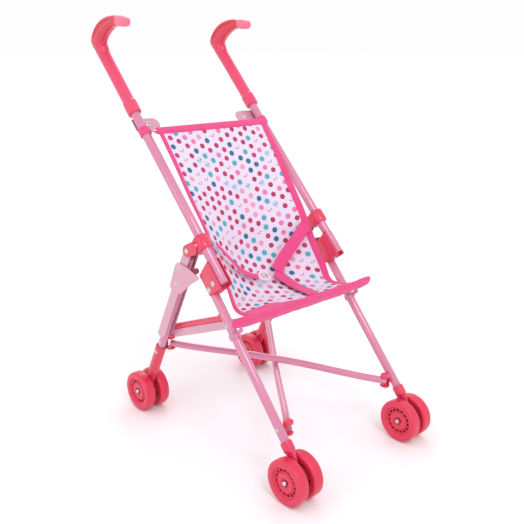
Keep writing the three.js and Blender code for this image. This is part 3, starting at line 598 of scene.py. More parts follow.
# ---------------------------------------------------------------- one side of the frame
def block(T, s):
    """Coral block: cheeks on both sides of the handle tube, solid behind it."""
    X = s * HAND_X
    r = TUBE_R + 0.15
    groove = [(r * math.cos(a), r * math.sin(a)) for a in [math.radians(k) for k in range(188, 353, 12)]]
    outline = ([(9.3, 0.6), (9.3, -25.2), (8.4, -27.0), (6.8, -27.6), (-6.4, -27.6), (-8.0, -27.0), (-8.7, -25.2),
                (-8.7, 4.4), (-8.2, 5.4), (-7.2, 5.4), (-6.8, 4.6), (-6.5, 0.0)] + groove + [(6.5, 0.0), (7.2, 1.2),
               (8.8, 1.2)])
    rings = []
    for t in (-8.8, -8.2, 4, 24, 29.4, 30):
        cut_in = 0.35 if t in (-8.8, 30) else 0.0
        ring = []
        for x, nn in outline:
            lean = max(0.0, (-nn - 15) / 13)
            tt = t + (3.2 * lean if t < 0 else -6.0 * lean if t > 20 else 0.0)
            ring.append((X + s * (x - math.copysign(cut_in, x)), *along(tt, nn + (cut_in if nn < -10 else 0))))
        rings.append(ring)
    verts, faces = skin(rings)
    return build(f"block_{T}_moulding", verts, faces, CORAL, side_frame(s), "plastic", replaces=f"block_{T}",
                 bevel=0.35, sharp=32)


for T, s in SIDES:
    X, L = s * HAND_X, s * LEG_X
    body = side_frame(s)
    tube(f"handle_tube_{T}_steel", (X, *along(-4)), (X, *along(TUBE_TOP)), TUBE_R, PALE, body, "steel",
         replaces=f"handle_tube_{T}")
    grip(T, s)
    block(T, s)
    rivet(f"block_rivet_front_{T}", X + s * 9.2, along(3, -9), s, body)
    rivet(f"block_rivet_rear_{T}", X + s * 9.2, along(1, -21.5), s, body)

    # strap plate
    def pt(t, n, x):
        return (s * x, *along(t, n))
    rim = [(110, 240.5), (88, 240.0)] + [(79 - 9.8 * math.sin(math.radians(a)), 250 - 9.8 * math.cos(math.radians(a)))
                                         for a in range(0, 181, 12)] + [(88, 260), (110, 259.5)]
    rings = [[pt(t, nn, x) for x, t in rim] for nn in (-TUBE_R - 2.6, -TUBE_R - 1.0)]
    verts, faces = skin(rings)
    build(f"strap_plate_{T}_pressed", verts, faces, PRESSED, body, "channel", replaces=f"strap_plate_{T}", bevel=0.4)
    a, b = Vector(pt(250, -TUBE_R - 1.4, 87)), Vector(pt(250, 2, 87))
    turned(f"strap_plate_eyelet_{T}", a, b, [(0, 4.4), (0.6, 4.4), (1.1, 3.9), (1.3, 3.0), (1.0, 2.2), (0.3, 1.9),
                                           (0.3, 0.05)], SILVER, body, "axle", n=28)

    # sliding bracket
    bb = f"bracket_{T}"
    ring_out = []
    collar = ([along(COLLAR_AT - 9.5, 6.5), along(COLLAR_AT - 9.8, 0), along(COLLAR_AT - 9.6, -8)]
              + [along(COLLAR_AT - 8, -12)] + arc(REAR_PIVOT, 8.4, 226, 330, 10)
              + [along(COLLAR_AT + 8, -12), along(COLLAR_AT + 9.8, -6), along(COLLAR_AT + 9.8, 0),
                 along(COLLAR_AT + 9.5, 6.5), along(COLLAR_AT + 8.4, 8.6), along(COLLAR_AT - 8.4, 8.6)])
    cheek = capsule(REAR_PIVOT, along(COLLAR_AT, -10), 8.2, 8.6, 14)
    for side, x0, x1 in (("out", 7.8, 9.8), ("in", -12.8, -10.2)):
        lo, hi = sorted((L + s * x0, L + s * x1))
        plate(f"bracket_cheek_{side}_{T}", cheek, lo, hi, CORAL, bb, "plastic", bevel=0.7)
    rings = []
    for t, r in ((-9.8, 8.4), (-9.2, 9.2), (-7.5, 9.7), (7.5, 9.7), (9.2, 9.2), (9.8, 8.4)):
        ring = []
        for k in range(48):
            th = 2 * math.pi * k / 48
            cx, cn = r * math.cos(th), r * math.sin(th)
            if cn < 0:
                cn = max(cn * 1.55, -13.5)
            ring.append((X + s * 0.4 + cx * 1.03, *along(COLLAR_AT + t, cn)))
        rings.append(ring)
    verts, faces = skin(rings)
    build(f"bracket_collar_{T}", verts, faces, CORAL, bb, "plastic", replaces=f"bracket_{T}", sharp=40)
    rivet(f"bracket_rivet_rear_{T}", L + s * 9.8, REAR_PIVOT, s, bb, 2.8, 1.6)
    rivet(f"bracket_rivet_front_{T}", X + s * 9.6, along(COLLAR_AT, -3), s, bb, 2.8, 2.0)

    # front leg, its rivets and fork
    tube(f"front_leg_{T}_steel", (L, *leg_at(-4.6)), (L, *leg_at(-143.5)), LEG_R, PALE, body, "steel",
         replaces=f"front_leg_{T}")
    rivet(f"rail_rivet_{T}", L + s * (LEG_R - 0.6), RAIL_FRONT, s, body, 2.6, 2.0)
    rivet(f"knuckle_rivet_{T}", L + s * (LEG_R - 0.6), leg_at(FRONT_KNUCKLE[0]), s, body, 2.6, 2.0)
    lofted = []
    for (y, z), a, b, d in (
            (leg_at(-138.3), 6.9, 6.9, LEG_DIR), (leg_at(-138.7), 7.3, 7.3, LEG_DIR), (leg_at(-144.5), 7.4, 7.3, LEG_DIR),
            (leg_at(-146.5), 7.4, 6.2, LEG_DIR), (leg_at(-148.5), 7.4, 4.1, LEG_DIR),
            ((-152.5, 46), 7.5, 3.9, unit((0, 0), (-0.45, -0.9))), ((-154.6, 38), 7.4, 3.9, unit((0, 0), (-0.2, -1))),
            ((-155.5, 29), 7.0, 3.9, (0, -1)), ((-155.5, 24.5), 5.6, 3.9, (0, -1)), ((-155.5, 21.6), 3.2, 3.6, (0, -1)),
            ((-155.5, 21), 1.6, 2.8, (0, -1))):
        lofted.append((y, z, a, b, d[0], d[1]))

    def loft(stops, n=40, per=5):
        out = []
        for y, z, a, b, d0, d1 in smooth_path(stops, per):
            m = math.hypot(d0, d1)
            out.append([(L + b * math.copysign(abs(math.cos(t)) ** 0.85, math.cos(t)),
                         y - d1 / m * a * math.sin(t), z + d0 / m * a * math.sin(t))
                        for t in [2 * math.pi * k / n for k in range(n)]])
        return out
    verts, faces = skin(loft(lofted))
    build(f"front_fork_{T}_moulding", verts, faces, CORAL, body, "plastic", replaces=f"front_fork_{T}", sharp=45)

    # rear leg: steel tube, pressed channel, coral fork, gusset
    rb = f"rear_leg_{T}"
    tube(f"rear_leg_{T}_steel", (L, *rear_at(12)), (L, *rear_at(196)), LEG_R, PALE, rb, "steel",
         replaces=f"rear_leg_{T}")
    rivet(f"rear_leg_rivet_{T}", L + s * (LEG_R - 0.6), rear_at(170), s, rb, 2.5, 2.0)
    w, g = 7.2, 6.2
    prof = [(-w, -6.8), (-w, 7.4), (-w + 1.4, 9.4), (0, 9.8), (w - 1.4, 9.4), (w, 7.4), (w, -6.8),
            (g, -6.8), (g, 6.9), (g - 0.9, 8.0), (0, 8.3), (-g + 0.9, 8.0), (-g, 6.9), (-g, -6.8)]
    rings = []
    for d, front in ((-6, 4.0), (-2, 6.8), (8, 6.8), (60, 6.8), (120, 6.8), (150, 6.8), (158, 3.0)):
        top = 0.72 if d < 0 else 1.0
        rings.append([(L + x, *rear_at(d, max(nn, -front) * (top if nn > 0 else 1))) for x, nn in prof])
    verts, faces = skin(rings)
    build(f"rear_channel_{T}_pressed", verts, faces, PRESSED, rb, "channel", replaces=f"rear_channel_{T}",
          bevel=0.25, sharp=30)
    lofted = [(*rear_at(d), a, b, *REAR_DIR) for d, a, b in (
        (180, 7.0, 6.9), (180.6, 7.6, 7.4), (200, 7.7, 7.4), (226, 7.8, 7.2), (231, 7.8, 6.4), (236, 7.6, 4.2),
        (240, 7.5, 3.9), (262, 7.2, 3.9), (270.8, 7.0, 3.9), (275, 5.6, 3.9), (277.6, 3.4, 3.6), (278, 1.8, 2.8))]
    verts, faces = skin(loft(lofted))
    build(f"rear_fork_{T}_moulding", verts, faces, CORAL, rb, "plastic", replaces=f"rear_fork_{T}", sharp=45)
    rivet(f"rear_fork_rivet_{T}", L + s * 6.6, rear_at(189), s, rb, 2.6, 2.0)
    corner = [(58, 250.5), (46, 249.8), (34, 247.2), (23, 243.8), (14.4, 241.2), (12.6, 239.2), (14.6, 236.8),
              (27, 229), (38, 221.3), (46.5, 213.6), (52.5, 208.6), (58.5, 207.4), (73, 209.6), (78, 213), (72, 226),
              (64, 245)]
    lo, hi = sorted((L + s * 7.7, L + s * 9.1))
    plate(f"gusset_{T}_pressed", corner[::-1], lo, hi, PRESSED, rb, "channel", bevel=0.5, replaces=f"gusset_{T}")
    rivet(f"gusset_rivet_top_{T}", L + s * 8.8, (56, 243), s, rb, 2.4, 1.4)
    rivet(f"gusset_rivet_low_{T}", L + s * 8.8, (63, 220), s, rb, 2.4, 1.4)
    lo, hi = sorted((L + s * 4.4, L + s * 7.4))
    # the catch takes the darkened coral: painted shade where it sits between the plates
    plate(f"catch_{T}_moulding", capsule((31, 242), (20.5, 247), 5, 3.6, 12), lo, hi, CORAL_SHADED, f"catch_{T}", "plastic",
          bevel=0.6, replaces=f"catch_{T}")

    # seat rail
    rd = unit(RAIL_FRONT, RAIL_REAR)
    length = math.hypot(RAIL_REAR[0] - RAIL_FRONT[0], RAIL_REAR[1] - RAIL_FRONT[1])

    def rail(d, h):
        return (RAIL_FRONT[0] + d * rd[0] - h * rd[1], RAIL_FRONT[1] + d * rd[1] + h * rd[0])
    x0, x1 = -14.2, -7.8
    mid = (x0 + x1) / 2
    prof = [(x0, 5.5), (x0, -4.6), (x0 + 1.0, -5.5), (x1 - 1.0, -5.5), (x1, -4.6), (x1, 5.5), (x1 - 1.1, 5.5),
            (x1 - 1.1, -4.2), (x0 + 1.1, -4.2), (x0 + 1.1, 5.5)]
    rings = [[(L + s * x, *rail(d, h)) for x, h in prof] for d in (-5, length - 7)]
    verts, faces = skin(rings)
    build(f"rail_channel_{T}_pressed", verts, faces, PRESSED, f"rail_channel_{T}", "channel",
          replaces=f"rail_channel_{T}", bevel=0.25, sharp=30)
    turned(f"rail_pivot_boss_{T}", (L + s * (x1 + 0.2), *RAIL_FRONT), (L, *RAIL_FRONT),
           [(0, 4.0), (1.2, 4.0), (1.6, 3.6), (1.7, 0.05)], SILVER, f"rail_channel_{T}", "axle", n=28)
    bar = [rail(14, 6.2), rail(length - 6, 6.2), rail(length - 4, 1), rail(length, -5.6), rail(length + 5.6, -2),
           rail(length + 6, 4), rail(length + 4.4, 10), rail(length - 2, 13.2), rail(31.5, 13.2), rail(29.6, 14.6),
           rail(28.6, 16.4), rail(16.2, 16.4), rail(14.6, 15), rail(14, 12)]
    lo, hi = sorted((L + s * x0, L + s * x1))
    plate(f"rail_slide_{T}_moulding", bar, lo, hi, CORAL, f"rail_slide_{T}", "plastic", bevel=0.8,
          replaces=f"rail_slide_{T}")
    for i in range(4):
        d = 18 + i * 2.7
        ridge = [rail(d, 16.2), rail(d + 1.2, 16.2), rail(d + 1.1, 16.9), rail(d + 0.1, 16.9)]
        plate(f"rail_slide_ridge_{T}_{i}", ridge, lo + 0.8, hi - 0.8, CORAL, f"rail_slide_{T}", "plastic", bevel=0.15)
    tongue = [rail(16, -3.6), rail(length - 3, -3.6), rail(length - 3, 6.4), rail(16, 6.4)]
    mlo, mhi = sorted((L + s * (mid - 1.6), L + s * (mid + 1.6)))
    plate(f"rail_tongue_{T}", tongue, mlo, mhi, CORAL, f"rail_slide_{T}", "plastic", bevel=0.3)
    rivet(f"rail_pin_{T}", L + s * (x0 - 0.2), RAIL_REAR, -s, f"rail_slide_{T}", 2.6, 1.4)

    # knuckles
    for end, at, kb in (("front", FRONT_KNUCKLE, f"knuckle_front_{T}"), ("rear", REAR_KNUCKLE, f"knuckle_rear_{T}")):
        kx = L - s * KNUCKLE_IN
        y, z = at
        lid = 6.0 if end == "front" else 7.7
        turned(f"knuckle_{end}_{T}_moulding", (kx, y, z + lid), (kx, y, z + 14),
               [(0, 6.2), (0.3, 6.6), (2.5, 6.6), (3.3, 6.1), (3.7, 5.0), (3.8, 0.05)], CORAL, kb, "plastic", n=40,
               replaces=f"knuckle_{end}_{T}")
        turned(f"knuckle_{end}_lip_{T}", (kx, y, z - 8.4), (kx, y, z),
               [(0, 5.6), (0.3, 6.2), (0.8, 6.6), (2.4, 6.6), (2.5, 6.2)], CORAL, kb, "plastic", n=40)
        reach = 33 if end == "front" else 26
        wall = [(6.6 * math.cos(math.radians(a)), 6.6 * math.sin(math.radians(a))) for a in range(-reach, reach + 1, 6)]
        rings = [[(kx + s * px, y + py, zz) for px, py in wall] for zz in (z - 7.4, z + lid + 1.2)]
        verts, faces = skin(rings)
        build(f"knuckle_{end}_wall_{T}", verts, faces, CORAL, kb, "plastic")
        off = 6.2 if end == "front" else 7.8
        boss_r, gap = (4.6, 5.7) if end == "front" else (3.0, 6.0)
        turned(f"knuckle_{end}_boss_{T}", (L - s * off, y, z), (kx, y, z),
               [(0, boss_r - 0.3), (0.2, boss_r), (KNUCKLE_IN - off - gap, boss_r)], CORAL, kb, "plastic", n=32)
        cross_screw(f"knuckle_{end}_screw_{T}", (kx, y, z - 8.3), (0, 0, -1), kb, 2.9)

    # clip that carries the end of the hem
    turned(f"hem_clip_{T}_ring", (L, *leg_at(-44.6)), (L, *leg_at(-60)),
           [(0, 7.0), (0.3, 7.4), (0.7, 7.6), (6.3, 7.6), (6.7, 7.4), (7.0, 7.0)], PALE, body, "steel", n=40,
           replaces=f"hem_clip_{T}")
    plate(f"hem_clip_{T}_arm", capsule(leg_at(-47), (-58.8, 188.6), 2.8, 2.6), L - 1.2, L + 1.2, PALE, body, "steel",
          bevel=0.4)

    # wheels
    for end, at in (("front", FRONT_AXLE), ("rear", REAR_AXLE)):
        wb = f"wheels_{end}_{T}"
        for side in (-1, 1):
            where = "out" if side * s > 0 else "in"
            wheel(f"wheel_{end}_{T}_{where}_moulding", T, s, at, wb, side, f"wheel_{end}_{T}_{where}")
        turned(f"axle_{end}_{T}_pin", (L - 19.6, *at), (L + 19.6, *at),
               [(0, 1.2), (0.3, 2.6), (1.6, 3.3), (2.4, 3.3), (2.5, 2.0), (36.7, 2.0), (36.8, 3.3), (37.6, 3.3),
                (38.9, 2.6), (39.2, 1.2)], SILVER, wb, "axle", n=24, replaces=f"axle_{end}_{T}")

# ---------------------------------------------------------------- crossed bars
pin = LEG_X - KNUCKLE_IN
for name, s, bow, kb in (("cross_bar_A", 1, 4.0, "R"), ("cross_bar_B", -1, -6.6, "L")):
    f = np.array((s * pin, FRONT_KNUCKLE[0], FRONT_KNUCKLE[1]))
    r = np.array((-s * pin, REAR_KNUCKLE[0], REAR_KNUCKLE[1]))
    d = (r - f) / np.linalg.norm(r - f)
    p, q = basis(d)
    rings = []
    steps = [-0.0065, -0.006, -0.0045] + [i / 40 for i in range(0, 40)] + [0.998, 0.9995, 1.0]
    for g in steps:
        lift = bow * (0.5 - 0.5 * math.cos(math.pi * max(0.0, min(1.0, (min(g, 1 - g) - 0.05) / 0.40))))
        c = Vector(f + (r - f) * g) + Vector((0, 0, lift))
        rr = BAR_R - (0.7 if g in (-0.0065, 1.0) else 0.2 if g in (-0.006, 0.9995) else 0)
        rings.append([tuple(c + (p * math.cos(t) + q * math.sin(t)) * rr)
                      for t in [2 * math.pi * k / 40 for k in range(40)]])
    verts, faces = skin(rings)
    build(f"{name}_steel", verts, faces, PALE, name, "steel", replaces=name)

# ---------------------------------------------------------------- seat cloth
EDGE = [(94, 119, 411), (93, 88, 372), (92, 60, 333), (90.5, 32, 296), (90, 10, 260), (89.8, -12, 226),
        (89.6, -28, 201), (95, -62.4, 203)]
MIDDLE = [(119, 411), (95, 366), (74, 322), (57, 281), (41, 241), (13, 212), (-20, 200), (-62.4, 201.7)]
ROWS = len(EDGE) - 1
edge_fine = smooth_path(EDGE, 40)
mid_fine = smooth_path(MIDDLE, 40)


def sling(u, v, lift=0.0, folds=True):
    """Point of the seat cloth: u from -1 to 1 across, v from 0 at the top to ROWS at the hem."""
    def raw(uu, vv):
        k = min(len(edge_fine) - 1.001, max(0.0, vv * 40))
        i, g = int(k), k - int(k)
        e = edge_fine[i] * (1 - g) + edge_fine[i + 1] * g
        m = mid_fine[i] * (1 - g) + mid_fine[i + 1] * g
        f = 1 - uu * uu
        return Vector((uu * e[0], e[1] + (m[0] - e[1]) * f, e[2] + (m[1] - e[2]) * f))
    c = raw(u, v)
    down = raw(u, min(ROWS, v + 0.05)) - raw(u, max(0, v - 0.05))
    right = raw(u + 0.01, v) - raw(u - 0.01, v)
    normal = down.cross(right).normalized()
    if folds:
        lift += fold_height(u, v)
    return c + normal * lift, normal


def fold_height(u, v):
    """Soft folds: drag lines towards the lower corners, ripples at the bend of the seat."""
    calm = (1 - u * u) * min(1.0, v / 0.8) * min(1.0, (ROWS - v) / 0.5)
    h = 0.9 * math.sin(5.2 * u + 1.3 * v) * math.exp(-((v - 4.6) / 1.5) ** 2)
    h += 0.7 * math.sin(9.0 * u - 2.1 * v + 0.6) * math.exp(-((v - 5.6) / 1.1) ** 2)
    h += 0.6 * math.sin(3.4 * u - 1.7 * v) * math.exp(-((v - 1.8) / 1.6) ** 2)
    corner = math.exp(-(((abs(u) - 0.85) / 0.28) ** 2 + ((v - 5.4) / 0.9) ** 2))
    h += 1.2 * corner * math.sin(6.0 * v + 7.0 * abs(u))
    return h * calm


def arc_length(path):
    out = [0.0]
    for a, b in zip(path, path[1:]):
        out.append(out[-1] + (Vector(b) - Vector(a)).length)
    return out


nu, nv = 72, 150
grid = []
for j in range(nv + 1):
    grid.append([sling(2 * i / nu - 1, ROWS * j / nv)[0] for i in range(nu + 1)])
centre = arc_length([row[nu // 2] for row in grid])
uv = []
for j, row in enumerate(grid):
    across = arc_length(row)
    half_len = across[nu // 2]
    for i in range(nu + 1):
        uv.append((across[i] - half_len, -centre[j]))
verts = [tuple(p) for row in grid for p in row]
faces = [(j * (nu + 1) + i, j * (nu + 1) + i + 1, (j + 1) * (nu + 1) + i + 1, (j + 1) * (nu + 1) + i)
         for j in range(nv) for i in range(nu)]
seat = build("seat_cloth", verts, faces, PRINT, "left_frame", "print", replaces="seat_sling", uv=uv, sharp=180)
seat.data.materials.append(REVERSE)
thick = seat.modifiers.new("cloth", "SOLIDIFY")
thick.thickness = 0.0011
thick.offset = 0.0
thick.material_offset = 1
thick.material_offset_rim = 0
soft = [seat]


def band(name, path, normals, width, thickness, mat=None, replaces=(), closed_ends=True, roll=0.0, n=20, uv_scale=1.0, body="left_frame"):
    """Flat woven band along a path, with rounded edges; normals give its face direction."""
    rings, uvs = [], []
    lengths = arc_length(path)
    for i, c in enumerate(path):
        d = (Vector(path[min(len(path) - 1, i + 1)]) - Vector(path[max(0, i - 1)])).normalized()
        nrm = Vector(normals[i])
        nrm = (nrm - d * nrm.dot(d)).normalized()
        side = d.cross(nrm)
        w = width[i] if hasattr(width, "__len__") else width
        th = thickness[i] if hasattr(thickness, "__len__") else thickness
        ring = []
        for k in range(n):
            t = 2 * math.pi * k / n
            a = math.copysign(abs(math.cos(t)) ** 0.55, math.cos(t)) * w / 2
            b = math.copysign(abs(math.sin(t)) ** 0.7, math.sin(t)) * th / 2
            ring.append(tuple(Vector(c) + side * a + nrm * b))
            uvs.append((a * uv_scale, lengths[i] * uv_scale))
        rings.append(ring)
    verts, faces = skin(rings)
    obj = build(name, verts, faces, mat or BINDING, body, "binding", replaces=replaces, uv=uvs, sharp=60)
    soft.append(obj)
    return obj


def stitches(name, path, normals, gap=2.6, size=0.45):
    """A row of short stitches standing a little out of a band."""
    verts, faces = [], []
    lengths = arc_length(path)
    total = lengths[-1]
    count = int(total / gap)
    for k in range(count):
        t0 = (k + 0.2) * gap
        t1 = t0 + gap * 0.6
        pts = []
        for t in (t0, (t0 + t1) / 2, t1):
            i = max(0, min(len(path) - 2, next((q for q in range(len(lengths) - 1) if lengths[q + 1] >= t), len(path) - 2)))
            g = (t - lengths[i]) / max(1e-6, lengths[i + 1] - lengths[i])
            pts.append((Vector(path[i]).lerp(Vector(path[i + 1]), g), Vector(normals[i])))
        d = (pts[2][0] - pts[0][0]).normalized()
        nrm = pts[1][1].normalized()
        side = d.cross(nrm).normalized()
        base = len(verts)
        for (c, _), r in zip(pts, (0.35, 1.0, 0.35)):
            for m in range(6):
                a = 2 * math.pi * m / 6
                verts.append(tuple(c + side * math.cos(a) * size * r * 0.8 + nrm * math.sin(a) * size * r))
        for r in range(2):
            for m in range(6):
                q = (m + 1) % 6
                faces.append((base + r * 6 + m, base + r * 6 + q, base + (r + 1) * 6 + q, base + (r + 1) * 6 + m))
        faces.append(tuple(base + m for m in range(6)))
        faces.append(tuple(base + 12 + m for m in range(6)))
    obj = build(name, verts, faces, SEAM, "left_frame", "binding", sharp=60, uv=[(0, 0)] * len(verts))
    soft.append(obj)
    return obj


def on_cloth(u, v, lift):
    p, nrm = sling(u, v, lift)
    return p, nrm


def cloth_path(stops, per=8):
    pts, nrms = [], []
    for u, v, lift in smooth_path(stops, per):
        p, nrm = on_cloth(u, v, lift)
        pts.append(p)
        nrms.append(nrm)
    return pts, nrms


# side bindings: folded over the edge of the cloth, from the top corner to the hem
side_bands = []
for T, s in SIDES:
    w = 6.4 if s < 0 else 10.4
    edge_u = 1 - (w / 2 - 1.3) / 91
    rows_v = [0.02] + [0.35 * k for k in range(1, 20)] + [6.9]
    pts, nrms = cloth_path([(s * edge_u, v, 0.0) for v in rows_v], 4)
    side_bands.append(band(f"side_binding_{T}_cloth", pts, nrms, w, 2.6, replaces=f"side_binding_{T}"))
    row, rn = cloth_path([(s * (edge_u - (w / 2 - 1.2) / 91), v, 1.35) for v in rows_v[1:-1]], 4)
    side_bands.append(stitches(f"side_stitches_{T}", row, rn))

# top binding
pts, nrms = [], []
for i in range(41):
    u = i / 20 - 1
    p, nrm = sling(u, 0.0, 0.0, False)
    y = PANEL_TOP[0] + 2.0
    z = PANEL_TOP[1] + 2.2
    pts.append(Vector((u * (PANEL_HALF + 1.5), y, z)))
    nrms.append(Vector((0, -U[1], U[0])))
top = band("top_binding_cloth", pts, nrms, 11.0, 3.0, replaces="top_binding")
row = [p + Vector((0, -U[0] * 3.6, -U[1] * 3.6)) + Vector((0, -U[1], U[0])) * 1.65 for p in pts]
top_row = stitches("top_stitches", row, nrms)

# front hem: a sewn pocket with narrowed ends that stand out past the legs
def hem_centre(u):
    a = abs(u)
    return u * HEM_HALF, HEM[0] + 1 - a, HEM[1] + 3 * a ** 3


rings, uvs = [], []
hem_n = 36
stations = [-1, -0.996, -0.99, -0.98, -0.965, -0.95] + [i / 40 for i in range(-37, 38)] + [0.95, 0.965, 0.98, 0.99,
                                                                                           0.996, 1]
for u in stations:
    a = abs(u)
    end = max(0.0, (a - 0.80) / 0.20)
    tip = math.sqrt(max(0.0, 1 - max(0.0, (a - 0.955) / 0.046) ** 2))
    half_w = 9.5 * (1 - 0.38 * end ** 1.6) * tip
    half_t = 4.2 * (1 - 0.45 * end ** 1.3) * tip
    x, y, z = hem_centre(u)
    pucker = 1 + 0.10 * math.sin(x * 0.11 + 1.0) + 0.05 * math.sin(x * 0.31)
    tilt = math.radians(120 - 14 * end)
    ring = []
    for k in range(hem_n):
        t = 2 * math.pi * k / hem_n
        pa = math.copysign(abs(math.cos(t)) ** 0.85, math.cos(t)) * half_w
        pb = math.copysign(abs(math.sin(t)) ** 0.9, math.sin(t)) * half_t * pucker
        if math.cos(t) > 0.5:
            pb *= 0.74
        ring.append((x, y + pa * math.cos(tilt) - pb * math.sin(tilt), z + pa * math.sin(tilt) + pb * math.cos(tilt)))
        uvs.append((x, pa + 30 * k / hem_n))
    rings.append(ring)
verts, faces = skin(rings)
hem = build("front_hem_cloth", verts, faces, BINDING, "left_frame", "binding", replaces="front_hem", uv=uvs, sharp=60)
soft.append(hem)
hem_row, hem_nrm = [], []
for i in range(73):
    u = (i / 36 - 1) * 0.80
    a = abs(u)
    tilt = math.radians(120)
    c = Vector(hem_centre(u))
    pa, pb = 6.2, 2.95 * (1 + 0.10 * math.sin(u * HEM_HALF * 0.11 + 1.0))
    nrm = Vector((0, -math.sin(tilt), math.cos(tilt)))
    hem_row.append(c + Vector((0, math.cos(tilt), math.sin(tilt))) * pa + nrm * (pb - 0.1))
    hem_nrm.append(nrm)
hem_stitches = stitches("hem_stitches", hem_row, hem_nrm)

# facing: the pink cloth of the hem runs back over the front of the seat, with a wavy sewn edge
WAVE = [(-1, 6.45), (-0.9, 6.36), (-0.5, 6.38), (-0.22, 6.66), (0.0, 6.80), (0.3, 6.78), (0.55, 6.80), (0.9, 6.74), (1, 6.76)]


def wave_at(u):
    for (u0, v0), (u1, v1) in zip(WAVE, WAVE[1:]):
        if u <= u1:
            g = (u - u0) / (u1 - u0)
            g = g * g * (3 - 2 * g)
            return v0 + (v1 - v0) * g
    return WAVE[-1][1]


cols, deep = 80, 8
fverts, fuv = [], []
for j in range(deep + 1):
    for i in range(cols + 1):
        u = (2 * i / cols - 1) * 0.985
        v0 = wave_at(u)
        v = v0 + (6.985 - v0) * j / deep
        p, _ = sling(u, v, 1.5 + 0.5 * math.sin(14 * u + 3 * j / deep) * math.sin(math.pi * j / deep))
        fverts.append(tuple(p))
        fuv.append((u * 93, v * 30))
ffaces = [(j * (cols + 1) + i, j * (cols + 1) + i + 1, (j + 1) * (cols + 1) + i + 1, (j + 1) * (cols + 1) + i)
          for j in range(deep) for i in range(cols)]
facing = build("hem_facing_cloth", fverts, ffaces, BINDING, "left_frame", "binding", uv=fuv, sharp=180)
m = facing.modifiers.new("cloth", "SOLIDIFY")
m.thickness = 0.0007
m.offset = 0.0
soft.append(facing)
row, rn = [], []
for i in range(61):
    u = (i / 30 - 1) * 0.96
    p, q = sling(u, wave_at(u) + 0.05, 1.9)
    row.append(p)
    rn.append(q)
facing_stitches = stitches("facing_stitches", row, rn)

# harness webbing
pts, nrms = cloth_path([(-0.93, 3.49, 5.5), (-0.765, 3.956, 8.5), (-0.535, 4.457, 8.5), (-0.36, 4.7, 7.4),
                        (-0.2, 4.90, 7.2)], 8)
strap_l = band("harness_strap_L_cloth", pts, nrms, [5.5 + 3.5 * min(1, i / 20) for i in range(len(pts))], 1.5,
               replaces="harness_strap_L")
pts, nrms = cloth_path([(0.95, 3.56, 6.0), (0.84, 3.78, 8.4), (0.721, 4.0, 9.2), (0.58, 4.24, 9.0), (0.42, 4.49, 8.6),
                        (0.28, 4.74, 8.0), (0.22, 4.86, 7.7)], 8)
strap_r = band("harness_strap_R_cloth", pts, nrms, 17.0, 1.5, replaces="harness_strap_R")
pts, nrms = cloth_path([(0.18, 4.92, 6.7), (0.21, 5.1, 6.6), (0.26, 5.6, 6.2), (0.27, 6.2, 5.4), (0.23, 6.7, 4.3),
                        (0.2, 6.93, 3.4)], 8)
crotch = band("crotch_strap_cloth", pts, nrms, 17.0, 1.5, replaces="crotch_strap")

# ring held by the left strap's end loop
rp, rn = sling(-0.09, 4.97, 8.4)
p1, p2 = basis(rn)
rings = []
for i in range(49):
    a = 2 * math.pi * i / 48
    c = rp + (p1 * math.cos(a) * 8.2 + p2 * math.sin(a) * 7.0)
    out = (p1 * math.cos(a) + p2 * math.sin(a)).normalized()
    rings.append([tuple(c + out * math.cos(t) * 1.7 + rn * math.sin(t) * 1.7) for t in [2 * math.pi * k / 16 for k in range(16)]])
verts = [p for ring in rings[:-1] for p in ring]
faces = []
for i in range(48):
    for k in range(16):
        a, b = i * 16, ((i + 1) % 48) * 16
        faces.append((a + k, a + (k + 1) % 16, b + (k + 1) % 16, b + k))
ring = build("harness_ring_moulding", verts, faces, WHITE, "left_frame", "ring", replaces="harness_ring")
soft.append(ring)

# straps looped round the handle tubes, sewn to the panel's top corners
loops = []
for T, s in SIDES:
    X = s * HAND_X
    a, b = Vector((X, *along(226.5))), Vector((X, *along(237.5)))
    r = TUBE_R + 1.7
    o = turned(f"top_strap_{T}_loop", a, b, [(0, TUBE_R + 0.2), (0, r - 0.4), (0.5, r), (10.5, r), (11, r - 0.4),
                                          (11, TUBE_R + 0.2)], BINDING, side_frame(s), "binding", n=48,
               replaces=f"top_strap_{T}", uv=None)
    layer = o.data.uv_layers.new(name="UVMap")
    for loop in o.data.loops:
        k = loop.vertex_index
        layer.data[loop.index].uv = (2 * math.pi * r * (k % 48) / 48, (k // 48) * 2.2)
    c0 = Vector((s * 99.8, *along(232, 3.2)))
    c1 = Vector((s * 96.4, PANEL_TOP[0] + 4.2, PANEL_TOP[1] + 1.4))
    c2 = Vector((s * 88.0, PANEL_TOP[0] + 3.4, PANEL_TOP[1] + 2.6))
    path = smooth_path([c0, c1, c2], 8)
    tail = band(f"top_strap_{T}_tail", [Vector(p) for p in path], [Vector((-s * 0.35, -U[1], U[0]))] * len(path), 9.0, 1.6,
                body=side_frame(s))
    soft.remove(tail)
    loops += [o, tail]

# ---------------------------------------------------------------- cloth pieces: each gets a mesh of its own
for o in soft:
    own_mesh(o)
for o in loops:
    y, z = along(242)
    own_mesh(o)

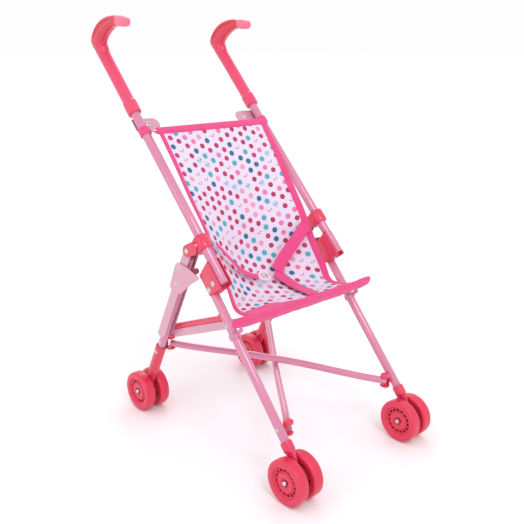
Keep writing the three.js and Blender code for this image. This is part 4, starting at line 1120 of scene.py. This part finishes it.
# ---------------------------------------------------------------- floor, light, camera
floor = bpy.data.meshes.new("floor")
floor.from_pydata([(-30, -30, 0), (30, -30, 0), (30, 30, 0), (-30, 30, 0)], [], [(0, 1, 2, 3)])
ground = bpy.data.objects.new("floor", floor)
bpy.context.scene.collection.objects.link(ground)
ground.location.z = -0.0002
n = Nodes("studio_floor")
n.set(Base_Color=(0.95, 0.94, 0.95, 1), Roughness=0.8)
here = n.add("ShaderNodeNewGeometry")
span = n.add("ShaderNodeVectorMath", operation="LENGTH")
n.link(here.outputs["Position"], span.inputs[0])
far = n.add("ShaderNodeMapRange")
far.inputs["From Min"].default_value = 0.35
far.inputs["From Max"].default_value = 1.1
n.link(span.outputs["Value"], far.inputs["Value"])
white = n.add("ShaderNodeEmission")
white.inputs["Color"].default_value = (1, 1, 1, 1)
white.inputs["Strength"].default_value = 1.05
fade = n.add("ShaderNodeMixShader")
n.link(far.outputs["Result"], fade.inputs[0])
links = n.mat.node_tree.links
links.new(n.bsdf.outputs[0], fade.inputs[1])
links.new(white.outputs[0], fade.inputs[2])
finish_node = [k for k in n.mat.node_tree.nodes if k.type == "OUTPUT_MATERIAL"][0]
links.new(fade.outputs[0], finish_node.inputs["Surface"])
floor.materials.append(n.mat)

world = bpy.data.worlds.new("studio")
bpy.context.scene.world = world
world.use_nodes = True
world.node_tree.nodes["Background"].inputs["Color"].default_value = (1.0, 0.99, 1.0, 1)
world.node_tree.nodes["Background"].inputs["Strength"].default_value = 1.0


def area_light(name, where, aim, size, power):
    light = bpy.data.lights.new(name, "AREA")
    light.shape = "DISK"
    light.size = size
    light.energy = power
    obj = bpy.data.objects.new(name, light)
    obj.location = where
    obj.rotation_euler = (Vector(aim) - Vector(where)).to_track_quat("-Z", "Y").to_euler()
    bpy.context.scene.collection.objects.link(obj)


area_light("key", (-0.5, -1.6, 1.9), (0, 0, 0.25), 0.8, 11)
area_light("fill", (-1.8, 0.2, 1.0), (0, 0, 0.25), 0.8, 2)
area_light("back", (1.2, 1.4, 1.6), (0, 0, 0.3), 0.8, 5)

cam = bpy.data.cameras.new("camera")
cam.lens = 48.72
cam.sensor_width = 36
cam.clip_start = 0.01
camera = bpy.data.objects.new("camera", cam)
camera.location = (-0.6294, -0.6712 + Y0 / 1000, 0.5216)
camera.rotation_euler = (math.radians(73.0), 0, math.radians(-42.25))
bpy.context.scene.collection.objects.link(camera)
bpy.context.scene.camera = camera
bpy.context.scene.view_settings.view_transform = "Standard"
